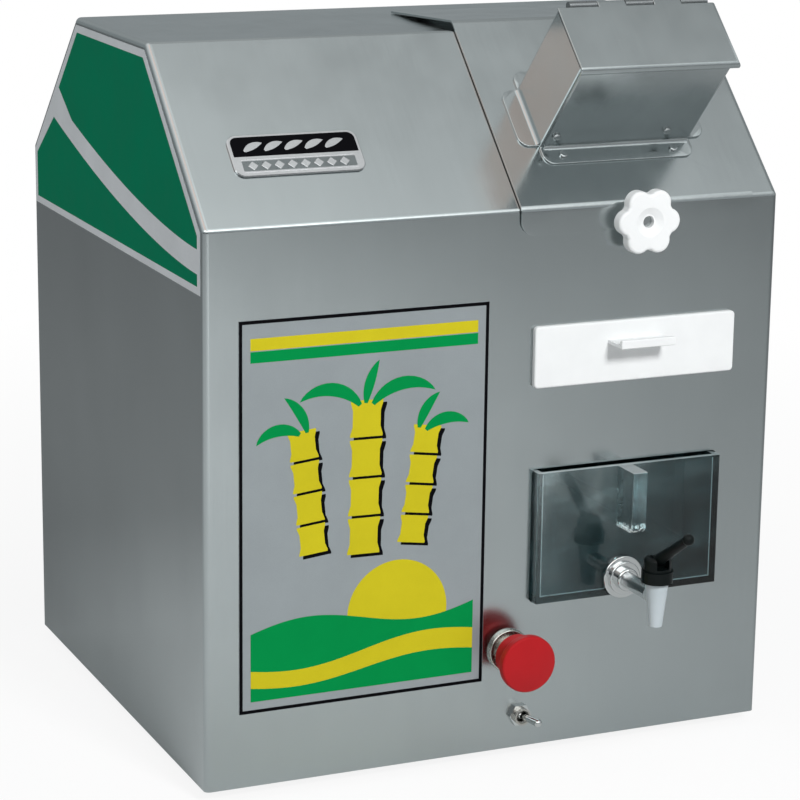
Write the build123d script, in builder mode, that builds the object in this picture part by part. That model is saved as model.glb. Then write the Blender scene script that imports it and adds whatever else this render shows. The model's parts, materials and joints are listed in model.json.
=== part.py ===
from build123d import *
import os
from math import acos, atan2, cos, degrees, hypot, pi, radians, sin, sqrt, tan

os.makedirs("parts", exist_ok=True)

# Sizes in mm: X across, depth back from the front wall, height up from the cabinet's lower edge.

# Cabinet
CABINET_W = 415.0
CABINET_D = 370.0
SHOULDER_H = 374.0
SLOPE_RUN = 109.0
SLOPE_RISE = 105.0
SHEET = 1.5
BEND_R = 4.0
REAR_FRAME = 18.0
REAR_MARGIN = 6.0
BASE_T = 2.0
BASE_RIM = 15.0
FOOT_H = 8.0
FOOT_R = 15.0
FOOT_INSET = 50.0
FOOT_PLUG_R = 5.0
FOOT_PLUG_H = 4.0
TOP_H = SHOULDER_H + SLOPE_RISE
SLOPE_LEN = hypot(SLOPE_RUN, SLOPE_RISE)
SLOPE_COS = SLOPE_RUN / SLOPE_LEN
SLOPE_SIN = SLOPE_RISE / SLOPE_LEN

# Fits
FIT = 0.02
RUNNING = 0.05
SLIDE_GAP = 0.3

# Labels and badge
LABEL_T = 0.3
LABEL_H = 264.0
LABEL_FROM_SIDE = 23.5
LABEL_FROM_MILL = 108.0
LABEL_LOW = 51.0
SIDE_LABEL_DROP = 42.0
SIDE_LABEL_MARGIN = 5.0
BADGE_W = 90.0
BADGE_L = 33.0
BADGE_T = 1.6
BADGE_FROM_SIDE = 33.0
BADGE_UP_SLOPE = 39.0
BADGE_CORNER = 7.0

# Mill's place: its chamber is as wide as the tank needs, and it stands near the right side
TANK_W = 139.0
TANK_SIDE_ROOM = 13.5
CHAMBER_W = TANK_W + 2 * TANK_SIDE_ROOM
PLATE_T = 8.0
MILL_SIDE_ROOM = 17.0
MILL_X = CABINET_W / 2 - MILL_SIDE_ROOM - PLATE_T - CHAMBER_W / 2

# Feed cover
COVER_W = 174.0
COVER_GAP = 0.8
COVER_T = 1.5
COVER_LIP = 17.0
COVER_LIP_CORNER = 10.0
COVER_CROWN = 5.0
COVER_REST = 21.0
COVER_OUT = COVER_GAP + COVER_T
MILL_OPENING_W = 142.0
MILL_OPENING_LOW = 10.0
MILL_OPENING_BACK = SLOPE_RUN + 86.0
GASKET_W = 9.0
GASKET_T = COVER_GAP - SLIDE_GAP
TONGUE_W = 18.0
TONGUE_REACH = 15.0
TONGUE_SPREAD = 80.0

# Feed chute and lid, on the slope
CHUTE_X = MILL_X - 2.0
CHUTE_W = 113.0
CHUTE_LOW = 46.5
CHUTE_L = 51.0
CHUTE_H = 84.5
CHUTE_T = 1.5
CHUTE_BEND = 2.5
FLANGE_W = 13.5
FLANGE_CORNER = 8.0
FLANGE_OVERLAP = 7.0
FLANGE_TRIM = 4.0
FLANGE_BEND = 3.0
FLANGE_EDGE = 0.4
SCREW_R = 1.5
SCREW_HEAD_R = 2.8
SCREW_HEAD_H = 1.8
SCREW_NUT_R = 3.2
SCREW_NUT_H = 2.4
FLANGE_SCREW_SPREAD = 83.0
GUIDE_T = 1.5
GUIDE_SIDE_GAP = 3.0
GUIDE_TOP = 26.0
GUIDE_DROP = 20.0
GUIDE_SCREW_H = 16.0
GUIDE_SCREW_SPREAD = 83.0
GUIDE_SCREW_SHIFT = -7.5
LID_GAP = 0.4
LID_FRONT = 1.6
LID_RIGHT = 4.5
LID_T = 1.5
LID_SKIRT = 4.5
LID_ROUND = 3.0
HINGE_LEAF_T = 1.2
HINGE_LEAF_W = 14.0
HINGE_R = 3.0
HINGE_PIN_R = 1.5
HINGE_W = 103.0
HINGE_SHIFT = 4.5
HINGE_KNUCKLES = 5
HINGE_END_GAP = 0.3

# Star knob
KNOB_DROP = 10.4
KNOB_LOBES = 6
KNOB_CORE_R = 18.8
KNOB_LOBE_R = 8.5
KNOB_LOBE_AT = 14.4
KNOB_VALLEY_R = 1.8
KNOB_BACK = 8.0
KNOB_T = 10.0
KNOB_ROUND = 2.2
KNOB_HUB_R = 11.0
KNOB_RECESS_R = 10.0
KNOB_RECESS = 2.5
STUD_R = 4.0
STUD_IN = 20.0
STUD_SINK = 3.5
STUD_CLEARANCE = 0.4
NUT_R = 7.5
NUT_H = 7.0

# Strainer drawer
DRAWER_W = 151.5
DRAWER_H = 42.0
DRAWER_TOP_DROP = 78.5
DRAWER_FRONT_T = 4.0
DRAWER_CORNER = 3.0
DRAWER_OVERLAP = 5.0
DRAWER_PLAY = 2.0
DRAWER_L = 205.0
DRAWER_WALL = 3.0
DRAWER_OUTLET_W = 70.0
DRAWER_OUTLET_L = 110.0
STRAINER_T = 1.0
STRAINER_UP = 6.0
STRAINER_RIB = 8.0
STRAINER_HOLE_R = 2.5
STRAINER_PITCH = 12.0
HANDLE_W = 41.0
HANDLE_SHIFT = -1.2
HANDLE_UP = 26.8
HANDLE_OUT = 20.0
HANDLE_T = 2.5
HANDLE_LIP = 6.0
RUNNER_LEDGE = 9.0
RUNNER_T = 4.0
RUNNER_H = 16.0
RUNNER_FRONT = 4.0

# Juice tank
TANK_SHIFT = -3.0
TANK_H = 91.5
TANK_DROP = 149.5
TANK_OUT = 8.0
TANK_L = 240.0
TANK_WALL = 4.0
TANK_FLOOR = 4.0
TANK_CORNER = 4.0
TANK_PLAY = 1.5
PULL_W = 11.0
PULL_H = 42.5
PULL_OUT = 22.0
PULL_ROUND = 5.0
SHELF_T = 2.0
SHELF_FRONT = 4.0
SHELF_STOP = 6.0
SHELF_GUIDE_H = 10.0

# Tap on the tank
TAP_SHIFT = -4.2
TAP_UP = 12.5
TAP_OUT = 57.0
SHANK_R = 5.5
SHANK_BORE_R = 3.5
SHANK_IN = 9.0
COLLAR_STEPS = [(15.0, 3.0), (11.5, 2.5), (8.0, 5.0)]
BACK_NUT_R = 8.0
BACK_NUT_H = 6.0
NOZZLE_DROP = 20.0
NOZZLE_L = 31.0
NOZZLE_LOW_R = 4.6
NOZZLE_TOP_R = 8.0
NOZZLE_BORE_R = 3.4
CHAMBER_R = 5.0
SPIGOT_R = 7.6
SPIGOT_H = 3.5
SEAT_DROP = 6.5
BONNET_RING_R = 10.7
BONNET_RING_H = 8.0
BONNET_R = 9.2
BONNET_H = 9.5
BONNET_ROUND = 3.0
BONNET_WEB = 1.6
BONNET_SLOT_W = 9.2
BONNET_SLOT_FRONT = 3.2
BONNET_SLOT_BACK = 9.4
LEVER_W = 8.6
LEVER_HUB_R = 4.3
LEVER_ARM_R = 4.1
LEVER_NECK_R = 3.0
LEVER_TIP_R = 3.9
LEVER_LEN = 47.5
LEVER_ANGLE = 33.0
LEVER_PIN_UP = 14.6
LEVER_PIN_R = 1.5
LEVER_CAM_R = 4.5
LEVER_CAM_OFF = 5.0
LEVER_CAM_ANGLE = 300.0
STEM_R = 2.5
STEM_PLUG_R = 4.7
STEM_PLUG_H = 5.0

# Emergency stop
ESTOP_X = MILL_X - 88.5
ESTOP_H = 71.0
ESTOP_BEZEL_R = 15.0
ESTOP_BEZEL_T = 3.0
ESTOP_BARREL_R = 11.0
ESTOP_BARREL_OUT = 9.0
ESTOP_BARREL_IN = 20.0
ESTOP_STEM_R = 5.5
ESTOP_CAP_R = 19.7
ESTOP_CAP_FRONT = 35.0
ESTOP_CAP_RIM = 27.0
ESTOP_WAIST_R = 13.6
ESTOP_WAIST_AT = 19.0
ESTOP_NECK_R = 14.8
ESTOP_CAP_BACK = 11.0
ESTOP_DOME = 2.5
ESTOP_RIM_ROUND = 2.0
ESTOP_POCKET_R = 12.0
ESTOP_POCKET_AT = 18.0
ESTOP_STEM_GRIP = 8.0
ESTOP_BLOCK_W = 30.0
ESTOP_BLOCK_H = 42.0
ESTOP_BLOCK_L = 34.0

# Toggle switch
TOGGLE_X = MILL_X - 79.5
TOGGLE_H = 23.5
TOGGLE_NUT_FLATS = 14.0
TOGGLE_NUT_T = 3.2
TOGGLE_BUSH_R = 5.9
TOGGLE_BUSH_OUT = 7.0
TOGGLE_BORE_R = 3.5
TOGGLE_FLARE_R = 4.7
TOGGLE_BODY = (26.0, 13.0, 18.0)
TOGGLE_BACK = 10.0
TOGGLE_BALL_R = 3.2
TOGGLE_PIVOT_OUT = 2.0
TOGGLE_TILT = 14.0
TOGGLE_LEN = 19.0
TOGGLE_ROOT_R = 1.9
TOGGLE_TIP_R = 2.8
TOGGLE_TAIL = 6.0

# Rollers, bushes and gears
ROLL_PITCH = 56.0
ROLL_R = ROLL_PITCH / 2 - 1.0
FLUTES = 20
FLUTE_R = 2.2
NIP_DEPTH = 62.0
DISCHARGE_ANGLE = -60.0
JOURNAL_R = 12.5
SHAFT_R = 10.0
BUSH_R = 16.0
BUSH_FLANGE_R = 19.0
BUSH_FLANGE_T = 2.0
SHAFT_TAIL = 3.0
GEAR_TEETH = 14
GEAR_MODULE = ROLL_PITCH / GEAR_TEETH
GEAR_W = 22.0
GEAR_GAP = 12.0
BULL_MODULE = 2.5
BULL_TEETH = 42
PINION_TEETH = 15
BULL_W = 18.0
BULL_GAP = 6.0
GEAR_PLATE_GAP = 6.0
GEAR_BACKLASH = 0.15
PRESSURE_ANGLE = radians(20)
ADDENDUM = 0.9
DEDENDUM = 1.2
FLANK_STEPS = 3
PINION_ANGLE = -90.0

# Mill frame
PLATE_FRONT = 80.0
PLATE_NOSE = 38.0
PLATE_REAR = 195.0
PLATE_FOOT_REAR = 320.0
PLATE_FOOT_H = 60.0
PLATE_SLOPE_GAP = 20.0
PLATE_TOP_GAP = 29.0
PLATE_NOSE_DROP = 74.0
PLATE_NOSE_RAMP = 50.0
ROLLER_END_GAP = 0.5
FOOT_FLANGE_W = 30.0
FOOT_FLANGE_T = 4.0
FOOT_FLANGE_FRONT = 100.0
TIE_R = 7.0
TIE_END_R = 5.0
TIE_NUT_R = 9.0
TIE_NUT_T = 6.0
FRONT_TIE_GAP = 11.0
FRONT_TIE_ANGLE = -121.0
GEAR_PLATE_FRONT = 58.0
TURNER_T = 8.0
TURNER_H = 26.0
TURNER_GAP = 3.2

# Gearbox and motor
GEARBOX_L = 84.0
GEARBOX_HALF_D = 48.0
GEARBOX_UP = 50.0
GEARBOX_DOWN = 75.0
GEARBOX_ROUND = 8.0
WORM_DROP = 42.0
PINION_SHAFT_R = 11.0
PINION_SHAFT_IN = 60.0
GEAR_PLATE_HOLE_R = 24.0
MOTOR_R = 54.0
MOTOR_FLANGE_R = 60.0
MOTOR_FLANGE_T = 10.0
MOTOR_L = 174.0
MOTOR_FINS = 24
MOTOR_FIN_R = 2.0
MOTOR_SHAFT_R = 7.0
MOTOR_SHAFT_IN = 34.0
ROTOR_R = 30.0
ROTOR_GAP = 1.0
ROTOR_FRONT = 30.0
ROTOR_L = 84.0
FAN_SPACE_R = 48.0
FAN_SPACE_L = 34.0
COWL_T = 3.0
COWL_HOLES = 16
COWL_HOLE_R = 4.0
FAN_R = 43.0
FAN_HUB_R = 13.0
FAN_L = 18.0
FAN_BLADES = 7
FAN_BLADE_T = 3.0
STAND_T = 3.0
STAND_HALF_W = 44.0
STAND_L = 90.0
STAND_SADDLE = 24.0

# Bagasse chute
SPOUT_OUT = 30.0
SPOUT_WALL = 1.5
SPOUT_SIDE_H = 55.0
SPOUT_SIDE_GAP = 0.3
SPOUT_DROP = 110.0
SPOUT_START_ANGLE = -22.0
SPOUT_START_GAP = 2.0
SPOUT_HOLE_MARGIN = 4.0
SPOUT_HOLE_H = 70.0

# Rear panel
LOUVRES = 9
LOUVRE_L = 90.0
LOUVRE_W = 6.0
LOUVRE_PITCH = 14.0
LOUVRE_H = 250.0
GLAND_X_FROM_SIDE = 60.0
GLAND_H = 45.0
GLAND_BORE_R = 4.2
GLAND_THREAD_R = 8.0
GLAND_HEX_FLATS = 22.0
GLAND_HEX_T = 6.0
GLAND_DOME_R = 9.5
GLAND_DOME_L = 14.0
GLAND_IN = 12.0

# The origin sits under the middle of the whole box, so the front wall's place follows from the reach.
TAP_REACH = TAP_OUT + LEVER_LEN * cos(radians(LEVER_ANGLE)) + LEVER_TIP_R
FRONT_Y = (TAP_REACH - CABINET_D - SPOUT_OUT) / 2
ORIGIN = (0, FRONT_Y, FOOT_H)
front_plane = Plane(origin=ORIGIN, x_dir=(1, 0, 0), z_dir=(0, -1, 0))
side_plane = Plane(origin=ORIGIN, x_dir=(0, 1, 0), z_dir=(1, 0, 0))
floor_plane = Plane(origin=ORIGIN, x_dir=(1, 0, 0), z_dir=(0, 0, 1))
slope_plane = Plane(
    origin=(0, FRONT_Y, FOOT_H + SHOULDER_H),
    x_dir=(1, 0, 0),
    z_dir=(0, -SLOPE_SIN, SLOPE_COS),
)


# Drawing helpers
def middle(span):
    """Middle of a span."""
    return (span[0] + span[1]) / 2


def about(centre, width):
    """Span of a width about its centre."""
    return (centre - width / 2, centre + width / 2)


def point(x, depth, height):
    """A point in the part's frame."""
    return (x, FRONT_Y + depth, FOOT_H + height)


def bar(x, depth, height, mode=Mode.ADD):
    """Box given by its spans across, back and up."""
    with Locations(point(middle(x), middle(depth), middle(height))):
        Box(x[1] - x[0], depth[1] - depth[0], height[1] - height[0], mode=mode)


def slab(plane, across, along, out, corner=0, mode=Mode.ADD):
    """Flat plate on a plane, given by its spans across, along and out of it."""
    with BuildSketch(plane.offset(out[0])) as outline:
        with Locations((middle(across), middle(along))):
            if corner:
                RectangleRounded(across[1] - across[0], along[1] - along[0], corner)
            else:
                Rectangle(across[1] - across[0], along[1] - along[0])
    extrude(outline.sketch, amount=out[1] - out[0], mode=mode)


def disc(plane, centre, radius, out, mode=Mode.ADD):
    """Round bar on a plane, from one distance out of it to another."""
    with BuildSketch(plane.offset(out[0])) as outline:
        with Locations(centre):
            Circle(radius)
    extrude(outline.sketch, amount=out[1] - out[0], mode=mode)


def hexagon(plane, centre, radius, out):
    """Hexagonal bar on a plane, from one distance out of it to another."""
    with BuildSketch(plane.offset(out[0])) as outline:
        with Locations(centre):
            RegularPolygon(radius, 6)
    extrude(outline.sketch, amount=out[1] - out[0])


def profile(points, x, corner=0, mode=Mode.ADD):
    """Plate standing across X, from its side outline in depth and height."""
    with BuildSketch(side_plane.offset(x[0])) as outline:
        with BuildLine():
            Polyline(*points, close=True)
        make_face()
        if corner:
            fillet(outline.vertices(), corner)
    extrude(outline.sketch, amount=x[1] - x[0], mode=mode)


def below_slope(along, drop):
    """Depth and height of a point up the front slope and below its sheet."""
    depth = along * SLOPE_COS + drop * SLOPE_SIN
    height = SHOULDER_H + along * SLOPE_SIN - drop * SLOPE_COS
    return (depth, height)


def away(centre, distance, angle):
    """Depth and height of a point at a distance and angle from another."""
    return (
        centre[0] + distance * cos(radians(angle)),
        centre[1] + distance * sin(radians(angle)),
    )


# Places that several pieces share
CHAMBER = about(MILL_X, CHAMBER_W)
LEFT_PLATE = (CHAMBER[0] - PLATE_T, CHAMBER[0])
RIGHT_PLATE = (CHAMBER[1], CHAMBER[1] + PLATE_T)
CHUTE_ACROSS = about(CHUTE_X, CHUTE_W)
CHUTE_ALONG = (CHUTE_LOW, CHUTE_LOW + CHUTE_L)
THROAT_ACROSS = about(CHUTE_X, CHUTE_W - 2 * CHUTE_T)
THROAT_ALONG = (CHUTE_ALONG[0] + CHUTE_T, CHUTE_ALONG[1] - CHUTE_T)
NIP_ALONG = (THROAT_ALONG[0] + GUIDE_T + THROAT_ALONG[1]) / 2
KNOB_H = SHOULDER_H - KNOB_DROP
KNOB_AT = (MILL_X, KNOB_H)
DRAWER_LOW = SHOULDER_H - DRAWER_TOP_DROP - DRAWER_H
DRAWER_SPAN = (DRAWER_LOW, DRAWER_LOW + DRAWER_H)
DRAWER_ACROSS = about(MILL_X, DRAWER_W)
DRAWER_HOLE_ACROSS = about(MILL_X, DRAWER_W - 2 * DRAWER_OVERLAP)
DRAWER_HOLE_SPAN = (DRAWER_SPAN[0] + DRAWER_OVERLAP / 2, DRAWER_SPAN[1] - DRAWER_OVERLAP / 2)
TRAY_ACROSS = about(MILL_X, DRAWER_W - 2 * DRAWER_OVERLAP - 2 * DRAWER_PLAY)
TRAY_SPAN = (DRAWER_HOLE_SPAN[0] + DRAWER_PLAY, DRAWER_HOLE_SPAN[1] - DRAWER_PLAY)
TANK_X = MILL_X + TANK_SHIFT
TANK_LOW = DRAWER_LOW - TANK_DROP
TANK_ACROSS = about(TANK_X, TANK_W)
TANK_SPAN = (TANK_LOW, TANK_LOW + TANK_H)
TANK_DEEP = (-TANK_OUT, TANK_L)
TAP_X = TANK_X + TAP_SHIFT
TAP_H = TANK_LOW + TAP_UP
TAP_AXIS = (TAP_X, -TAP_OUT)
NOZZLE_LOW = TAP_H - NOZZLE_DROP
BONNET_LOW = NOZZLE_LOW + NOZZLE_L
SEAT_H = TAP_H - SEAT_DROP
LEVER_PIN = (-TAP_OUT, BONNET_LOW + LEVER_PIN_UP)
ESTOP_AT = (ESTOP_X, ESTOP_H)
TOGGLE_AT = (TOGGLE_X, TOGGLE_H)
FEED = below_slope(NIP_ALONG - ROLL_PITCH / 2, NIP_DEPTH)
MASTER = below_slope(NIP_ALONG + ROLL_PITCH / 2, NIP_DEPTH)
DISCHARGE = away(MASTER, ROLL_PITCH, DISCHARGE_ANGLE)
BULL_PITCH = BULL_MODULE * (BULL_TEETH + PINION_TEETH) / 2
PINION = away(MASTER, BULL_PITCH, PINION_ANGLE)
GEARS = (LEFT_PLATE[0] - GEAR_GAP - GEAR_W, LEFT_PLATE[0] - GEAR_GAP)
BULL = (GEARS[0] - BULL_GAP - BULL_W, GEARS[0] - BULL_GAP)
GEAR_PLATE = (BULL[0] - GEAR_PLATE_GAP - PLATE_T, BULL[0] - GEAR_PLATE_GAP)
GEARBOX = (GEAR_PLATE[0] - GEARBOX_L, GEAR_PLATE[0])
MOTOR_AT = (middle(GEARBOX), PINION[1] - WORM_DROP)
MOTOR_FRONT = PINION[0] + GEARBOX_HALF_D
MOTOR_BACK = MOTOR_FRONT + MOTOR_L
FAN_SPACE = (MOTOR_BACK - COWL_T - FAN_SPACE_L, MOTOR_BACK - COWL_T)
ROTOR = (MOTOR_FRONT + ROTOR_FRONT, MOTOR_FRONT + ROTOR_FRONT + ROTOR_L)
REAR_FACE = CABINET_D + SHEET
OUTLINE = [
    (0, SHOULDER_H),
    (SLOPE_RUN, TOP_H),
    (CABINET_D - SLOPE_RUN, TOP_H),
    (CABINET_D, SHOULDER_H),
]
REAR_SCREWS = [
    (side * (CABINET_W / 2 - (REAR_FRAME + REAR_MARGIN) / 2), height)
    for side in (-1, 1)
    for height in (REAR_FRAME, SHOULDER_H / 2, SHOULDER_H - REAR_FRAME)
]
GLAND_AT = (-CABINET_W / 2 + GLAND_X_FROM_SIDE, GLAND_H)
FEET = [
    (side * (CABINET_W / 2 - FOOT_INSET), depth)
    for side in (-1, 1)
    for depth in (FOOT_INSET, CABINET_D - FOOT_INSET)
]
FLANGE_SCREWS = [
    (CHUTE_X + side * FLANGE_SCREW_SPREAD / 2, along)
    for side in (-1, 1)
    for along in (CHUTE_ALONG[0] - FLANGE_W / 2, CHUTE_ALONG[1] + FLANGE_W / 2)
]
GUIDE_SCREWS = [
    (CHUTE_X + GUIDE_SCREW_SHIFT + side * GUIDE_SCREW_SPREAD / 2, GUIDE_SCREW_H)
    for side in (-1, 1)
]
SPOUT_START = away(DISCHARGE, ROLL_R + SPOUT_START_GAP, SPOUT_START_ANGLE)
SPOUT_END = (CABINET_D + SPOUT_OUT, SPOUT_START[1] - SPOUT_DROP)
SPOUT_SLOPE = (SPOUT_START[1] - SPOUT_END[1]) / (SPOUT_END[0] - SPOUT_START[0])
SPOUT_ACROSS = (CHAMBER[0] + SPOUT_SIDE_GAP, CHAMBER[1] - SPOUT_SIDE_GAP)
SPOUT_HOLE_LOW = SPOUT_END[1] + SPOUT_SLOPE * SPOUT_OUT - SPOUT_WALL - SPOUT_HOLE_MARGIN


# Cabinet shell
def cabinet_block(inset, radius):
    """Block of the cabinet's outline, drawn in on every side but the bottom, which an inner block passes."""
    with BuildPart() as block:
        with BuildSketch(side_plane):
            with BuildLine():
                Polyline((0, -2 * inset), *OUTLINE, (CABINET_D, -2 * inset), close=True)
            make_face()
            if inset:
                offset(amount=-inset, kind=Kind.INTERSECTION, mode=Mode.REPLACE)
        extrude(amount=CABINET_W / 2 - inset, both=True)
        bottom = block.faces().sort_by(Axis.Z)[0].center().Z
        fillet(block.edges().filter_by(lambda edge: edge.center().Z > bottom + 1), radius)
    return block.part


outer_block = cabinet_block(0, BEND_R)
inner_block = cabinet_block(SHEET, BEND_R - SHEET)
with BuildPart() as cabinet_shell:
    add(outer_block)
    add(inner_block, mode=Mode.SUBTRACT)
    # openings for the drawer, the tank, the stud and the two switches
    through = (-2 * SHEET, SHEET)
    slab(front_plane, DRAWER_HOLE_ACROSS, DRAWER_HOLE_SPAN, through, mode=Mode.SUBTRACT)
    slab(
        front_plane,
        about(TANK_X, TANK_W + 2 * TANK_PLAY),
        (TANK_SPAN[0] - TANK_PLAY, TANK_SPAN[1] + TANK_PLAY),
        through,
        corner=TANK_CORNER,
        mode=Mode.SUBTRACT,
    )
    disc(front_plane, KNOB_AT, STUD_R + STUD_CLEARANCE, through, mode=Mode.SUBTRACT)
    disc(front_plane, ESTOP_AT, ESTOP_BARREL_R + FIT, through, mode=Mode.SUBTRACT)
    disc(front_plane, TOGGLE_AT, TOGGLE_BUSH_R + FIT, through, mode=Mode.SUBTRACT)
    # opening over the rollers, through slope and top
    bar(
        about(MILL_X, MILL_OPENING_W),
        (MILL_OPENING_LOW, MILL_OPENING_BACK),
        (SHOULDER_H + MILL_OPENING_LOW * SLOPE_SIN / SLOPE_COS, TOP_H + SHEET),
        mode=Mode.SUBTRACT,
    )
    # rear opening inside a narrow frame, with its screw holes
    slab(
        front_plane,
        about(0, CABINET_W - 2 * REAR_FRAME),
        (REAR_FRAME, SHOULDER_H - REAR_FRAME),
        (-CABINET_D - SHEET, -CABINET_D + 2 * SHEET),
        mode=Mode.SUBTRACT,
    )
    for place in REAR_SCREWS:
        disc(front_plane, place, SCREW_R + FIT, (-REAR_FACE, -CABINET_D + 2 * SHEET), mode=Mode.SUBTRACT)
cabinet_shell.part.label = "cabinet_shell"
export_step(cabinet_shell.part, "parts/cabinet_shell.step")

# Base plate with an upturned rim, inside the shell
with BuildPart() as base_plate:
    inside_w = about(0, CABINET_W - 2 * SHEET)
    inside_d = (SHEET, CABINET_D - SHEET)
    slab(floor_plane, inside_w, inside_d, (0, BASE_RIM), corner=BEND_R)
    slab(
        floor_plane,
        (inside_w[0] + BASE_T, inside_w[1] - BASE_T),
        (inside_d[0] + BASE_T, inside_d[1] - BASE_T),
        (BASE_T, BASE_RIM),
        corner=BEND_R,
        mode=Mode.SUBTRACT,
    )
    for foot in FEET:
        disc(floor_plane, foot, FOOT_PLUG_R + FIT, (0, BASE_T), mode=Mode.SUBTRACT)
base_plate.part.label = "base_plate"
export_step(base_plate.part, "parts/base_plate.step")

# Push-in rubber feet
with BuildPart() as rubber_feet:
    for foot in FEET:
        disc(floor_plane, foot, FOOT_R, (-FOOT_H, 0))
        disc(floor_plane, foot, FOOT_PLUG_R, (0, FOOT_PLUG_H))
rubber_feet.part.label = "rubber_feet"
export_step(rubber_feet.part, "parts/rubber_feet.step")

# Rear panel with louvres and the bagasse outlet
with BuildPart() as rear_panel:
    panel = (-REAR_FACE, -CABINET_D)
    slab(
        front_plane,
        about(0, CABINET_W - 2 * REAR_MARGIN),
        (REAR_MARGIN, SHOULDER_H - REAR_MARGIN),
        panel,
    )
    slab(
        front_plane,
        (SPOUT_ACROSS[0] - SPOUT_HOLE_MARGIN, SPOUT_ACROSS[1] + SPOUT_HOLE_MARGIN),
        (SPOUT_HOLE_LOW, SPOUT_HOLE_LOW + SPOUT_HOLE_H),
        panel,
        mode=Mode.SUBTRACT,
    )
    with BuildSketch(front_plane.offset(-REAR_FACE)):
        with Locations((MOTOR_AT[0], LOUVRE_H)):
            with GridLocations(0, LOUVRE_PITCH, 1, LOUVRES):
                SlotOverall(LOUVRE_L, LOUVRE_W)
    extrude(amount=SHEET, mode=Mode.SUBTRACT)
    for place in REAR_SCREWS:
        disc(front_plane, place, SCREW_R + FIT, panel, mode=Mode.SUBTRACT)
    disc(front_plane, GLAND_AT, GLAND_THREAD_R + FIT, panel, mode=Mode.SUBTRACT)
rear_panel.part.label = "rear_panel"
export_step(rear_panel.part, "parts/rear_panel.step")

# Rear panel screws
with BuildPart() as rear_panel_screws:
    for place in REAR_SCREWS:
        disc(front_plane, place, SCREW_HEAD_R, (-REAR_FACE - SCREW_HEAD_H, -REAR_FACE))
        disc(front_plane, place, SCREW_R, (-REAR_FACE, -CABINET_D + 4 * SHEET))
rear_panel_screws.part.label = "rear_panel_screws"
export_step(rear_panel_screws.part, "parts/rear_panel_screws.step")

# Cable gland: a threaded tube, a hexagon and a domed cap round one bore
with BuildPart() as cable_gland:
    hex_back = -REAR_FACE - GLAND_HEX_T
    disc(front_plane, GLAND_AT, GLAND_THREAD_R, (-REAR_FACE, -CABINET_D + GLAND_IN))
    hexagon(front_plane, GLAND_AT, GLAND_HEX_FLATS / sqrt(3), (hex_back, -REAR_FACE))
    disc(front_plane, GLAND_AT, GLAND_DOME_R, (hex_back - GLAND_DOME_L, hex_back))
    cap_end = cable_gland.faces().sort_by(Axis.Y)[-1]
    fillet(cap_end.edges(), GLAND_DOME_R - GLAND_BORE_R - SHEET)
    disc(
        front_plane,
        GLAND_AT,
        GLAND_BORE_R,
        (hex_back - GLAND_DOME_L, -CABINET_D + GLAND_IN),
        mode=Mode.SUBTRACT,
    )
cable_gland.part.label = "cable_gland"
export_step(cable_gland.part, "parts/cable_gland.step")

# Front label
with BuildPart() as front_label:
    slab(
        front_plane,
        (-CABINET_W / 2 + LABEL_FROM_SIDE, MILL_X - LABEL_FROM_MILL),
        (LABEL_LOW, LABEL_LOW + LABEL_H),
        (0, LABEL_T),
        corner=SHEET,
    )
front_label.part.label = "front_label"
export_step(front_label.part, "parts/front_label.step")

# Side label, which follows the upper outline of the left side
with BuildPart() as side_label:
    with BuildSketch(side_plane.offset(-CABINET_W / 2 - LABEL_T)):
        with BuildLine():
            Polyline((0, 0), *OUTLINE, (CABINET_D, 0), close=True)
        make_face()
        offset(amount=-SIDE_LABEL_MARGIN, kind=Kind.INTERSECTION, mode=Mode.REPLACE)
        lower_h = SHOULDER_H - SIDE_LABEL_DROP
        with Locations((CABINET_D / 2, lower_h / 2)):
            Rectangle(CABINET_D, lower_h, mode=Mode.SUBTRACT)
    extrude(amount=LABEL_T)
side_label.part.label = "side_label"
export_step(side_label.part, "parts/side_label.step")

# Badge plate on the slope
with BuildPart() as badge_plate:
    badge_left = -CABINET_W / 2 + BADGE_FROM_SIDE
    slab(
        slope_plane,
        (badge_left, badge_left + BADGE_W),
        (BADGE_UP_SLOPE, BADGE_UP_SLOPE + BADGE_L),
        (0, BADGE_T),
        corner=BADGE_CORNER,
    )
    chamfer(badge_plate.faces().sort_by(Axis.Z)[-1].edges(), BADGE_T / 3)
badge_plate.part.label = "badge_plate"
export_step(badge_plate.part, "parts/badge_plate.step")


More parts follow.
